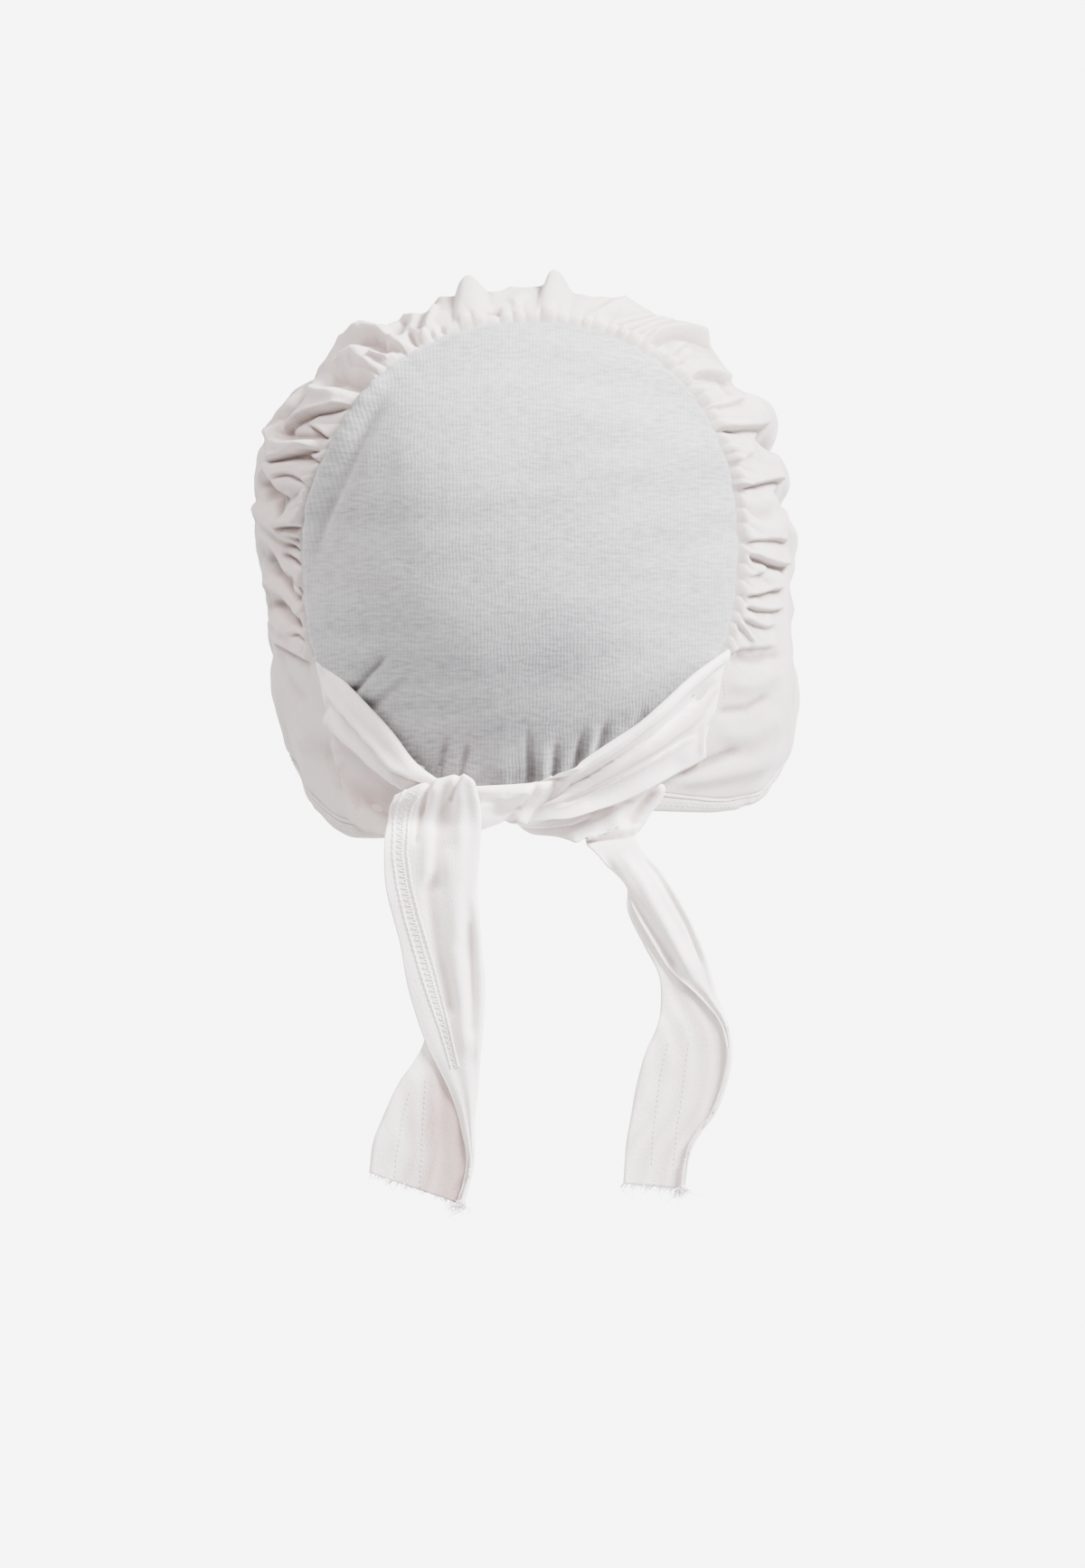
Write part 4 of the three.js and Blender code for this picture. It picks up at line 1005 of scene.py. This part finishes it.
# Threads
def threads(name, paths, radius, sides=6, taper=False):
    """Thin round threads along paths, as one mesh."""
    verts, faces, base = [], [], 0
    turn = np.linspace(0, 2 * np.pi, sides, endpoint=False)[None, :, None]
    for path in paths:
        tangent = unit(np.gradient(path, axis=0))
        across = unit(np.cross(tangent, (0.0, -1.0, 0.2)))
        size = radius * np.linspace(1, 0.25, len(path)) if taper else np.full(len(path), radius)
        if not taper:
            size[[0, -1]] *= 0.35
        ring = across[:, None] * np.cos(turn) + np.cross(tangent, across)[:, None] * np.sin(turn)
        verts.append((path[:, None] + ring * size[:, None, None]).reshape(-1, 3))
        faces.append(grid_quads(len(path), sides, True) + base)
        base += len(path) * sides
    return raw_mesh(name, np.vstack(verts), np.vstack(faces))


def walk(points, step):
    """Places along a line of points, one step apart, and its direction there."""
    points = np.asarray(points, float)
    gaps = np.linalg.norm(np.diff(points, axis=0), axis=1)
    total = np.concatenate([[0], np.cumsum(gaps)])
    at = np.arange(step / 2, total[-1], step)
    out = np.stack([np.interp(at, total, points[:, k]) for k in range(points.shape[1])], axis=-1)
    return out, unit(np.gradient(out, axis=0))


def dashes(points, normals, step, length, radius, name):
    """A line of stitches lying on the cloth."""
    both, _ = walk(np.hstack([points, normals]), step)
    at, normal = both[:, :3], unit(both[:, 3:])
    along = unit(np.gradient(at, axis=0))
    paths = []
    for p, n, t in zip(at, normal, along):
        k = np.linspace(-0.5, 0.5, 4)[:, None]
        arch = 0.14 * (1 - (2 * k) ** 2) - 0.05
        paths.append(p + t * k * length + n * arch)
    return threads(name, paths, radius)


def on_cloth(line, trees, lift):
    """Lays a line of x, z places on the nearest cloth seen from behind."""
    out = []
    for x, z in line:
        hit = nearest_cloth(x, z, trees)
        if hit:
            place, normal = np.array(hit[0]), np.array(hit[1])
            normal *= -1 if normal[1] > 0 else 1
            out.append(np.concatenate([place + normal * lift, normal]))
    return np.array(out)


def stitch(name, path, lift, step, length, radius):
    """A line of stitches along x, z places, on the cloth seen from behind."""
    laid = on_cloth(walk(path, 0.5)[0], cloths, lift)
    finish_piece(dashes(laid[:, :3], laid[:, 3:], step, length, radius, name), THREAD_MAT, "tie_jersey")


# The stitch line of the turned edge, a little in from the fold
hem_row = 8
line = dashes(edge_pts[hem_row], grid_normals(edge_pts)[hem_row], 2.3, 1.4, 0.17, "edge_stitches")
finish_piece(line, THREAD_MAT, "band_jersey")

# The seams that join each tie to its side panel
LEFT_SEAM = [(-65.6, -137.5), (-65, -142), (-65.6, -147), (-66.4, -151.6), (-66.2, -155.6), (-63.6, -159.2),
             (-60, -161.6), (-58.2, -165), (-56.6, -170), (-56, -174)]
RIGHT_SEAM = [(63.4, -122.6), (62.8, -127.6), (63.4, -131.6), (63.8, -135), (61.8, -138.6), (58.6, -141.4),
              (56.4, -144.8), (55.8, -149), (55.6, -153.6)]
cloths = [tree_of(left_pts), tree_of(right_pts), tree_of(band_pts)]
stitch("left_seam_stitches", LEFT_SEAM, 0.05, 1.5, 0.9, 0.16)
stitch("right_seam_stitches", RIGHT_SEAM, 0.05, 1.5, 0.9, 0.16)

# The overlocked seam that runs down the left-hand tail
OVERLOCK = [(-37.4, -166), (-39.4, -169.6), (-41, -175.6), (-41.4, -186), (-40, -196), (-37.6, -206),
            (-34.4, -217), (-31, -229), (-27, -242), (-23.6, -255)]
OVERLOCK_STEP = 0.3
centre, heading = walk(OVERLOCK, OVERLOCK_STEP)
sideways = np.stack([-heading[:, 1], heading[:, 0]], axis=-1)
along = np.arange(len(centre)) * OVERLOCK_STEP
narrow = 1 - 0.5 * ease(along, 55, 95)
wave = 0.25 * np.sin(along * 3.4)
for name, offsets, radius in (
        ("overlock_outer", 2.3 + wave, 0.34),
        ("overlock_inner", -2.3 + wave, 0.3),
        ("overlock_zigzag", 2.2 * (2 * np.abs(((along / 0.95) % 2) - 1) - 1), 0.22),
        ("overlock_needle", 0.7 + 0.3 * np.sin(along * 3.7), 0.2)):
    laid = on_cloth(centre + sideways * (offsets * narrow)[:, None], cloths[1:2], 0.12)
    laid = smooth_rows(laid, 2)
    finish_piece(threads(name, [laid[:, :3]], radius), OVERLOCK_MAT, "tie_jersey")

# Running stitches on the turned back panels of the tails
PANEL_LINES = [
    ("left_panel_stitches", [(-38, -262), (-40.6, -272), (-42.6, -284), (-43, -291)]),
    ("left_panel_seam", [(-33, -258), (-33.6, -270), (-34.4, -284), (-34.6, -294)]),
    ("right_panel_stitches", [(45, -246), (42.6, -258), (40.6, -272), (39.6, -286)]),
    ("right_panel_seam", [(51.6, -246), (50, -260), (48, -274), (46.6, -286)]),
]
for name, path in PANEL_LINES:
    stitch(name, path, 0.65, 1.7, 1.1, 0.15)

# Frayed yarn ends where the tails were cut
FRAY = dict(count=260, short=(0.9, 2.2), long=(1.8, 4.2), shares=[0.78, 0.22], radius=0.2)
strands = []
for pts in (left_pts, right_pts):
    end, before = pts[-1], pts[-4]
    for k in rng.choice(end.shape[0] - 2, FRAY["count"]):
        k = int(k) + 1
        run = unit(end[k] - before[k])
        size = rng.choice([rng.uniform(*FRAY["short"]), rng.uniform(*FRAY["long"])], p=FRAY["shares"])
        curl = rng.normal(0, 0.5, 3) * np.array([1, 0.5, 0.6])
        turn = rng.uniform(0, 2 * np.pi)
        t = np.linspace(0, 1, 8)[:, None]
        winding = turn + t * 4
        spin = np.concatenate([np.cos(winding) - np.cos(turn), 0.4 * np.sin(winding), 0 * t], axis=1)
        start = end[k] - run * 0.8 + rng.normal(0, 0.25, 3)
        strands.append(start + run * size * t + curl * size * t**2 + spin * 0.28 * size)
finish_piece(threads("frayed_ends", strands, FRAY["radius"], 5, True), OVERLOCK_MAT, "tie_jersey")


# Floor, light and camera
PAPER = {"Base Color": (0.86, 0.86, 0.86, 1), "Roughness": 1.0, "Specular IOR Level": 0.0}
bpy.ops.mesh.primitive_circle_add(vertices=96, radius=9.0, fill_type="NGON", location=(0, 0, -1.3))
floor = bpy.context.object
floor.name = "pale_floor"
floor.data.materials.append(material("floor_paper", PAPER)[0])

BACKDROP = 7.3
AMBIENT = 0.24
world = bpy.data.worlds.new("studio")
bpy.context.scene.world = world
world.use_nodes = True
sky = world.node_tree
seen = sky.nodes["Background"]
fill(sky, seen, {0: (1.0, 1.0, 1.0, 1), 1: BACKDROP})
cast = node(sky, "ShaderNodeBackground", {0: (1.0, 0.93, 0.90, 1), 1: AMBIENT})
ray = node(sky, "ShaderNodeLightPath", {})
sky_inputs = {0: ray.outputs["Is Camera Ray"], 1: cast.outputs[0], 2: seen.outputs[0]}
mix = node(sky, "ShaderNodeMixShader", sky_inputs)
fill(sky, sky.nodes["World Output"], {0: mix.outputs[0]})

SOFTBOXES = [
    # name, place, width and height, power, colour
    ("key_light", (1.62, -1.05, 1.45), 0.8, 445.0, (0.99, 0.995, 1.0)),
    ("fill_light", (-1.2, -0.9, 2.0), 0.9, 135.0, (1.0, 0.94, 0.92)),
    ("top_light", (0.2, -0.3, 2.2), 1.0, 14.0, (1.0, 0.97, 0.96)),
]
LIT_POINT = (0, 0, -0.12)
for name, place, size, power, colour in SOFTBOXES:
    data = bpy.data.lights.new(name, "AREA")
    data.color = colour
    data.shape = "RECTANGLE"
    data.size = data.size_y = size
    data.energy = power
    light = bpy.data.objects.new(name, data)
    bpy.context.scene.collection.objects.link(light)
    light.location = place
    aim = np.array(LIT_POINT) - np.array(place)
    light.rotation_euler = Vector(aim).to_track_quat("-Z", "Y").to_euler()

CAMERA = dict(distance=3.0, aim_x=4.5, aim_z=-163.5, frame_width=360.0)
camera_data = bpy.data.cameras.new("camera")
camera = bpy.data.objects.new("camera", camera_data)
bpy.context.scene.collection.objects.link(camera)
camera.location = (CAMERA["aim_x"] * MM, -CAMERA["distance"], CAMERA["aim_z"] * MM)
camera.rotation_euler = (math.radians(90), 0, 0)
camera_data.sensor_fit = "HORIZONTAL"
camera_data.sensor_width = 36.0
camera_data.lens = 36.0 * CAMERA["distance"] / (CAMERA["frame_width"] * MM)
bpy.context.scene.camera = camera
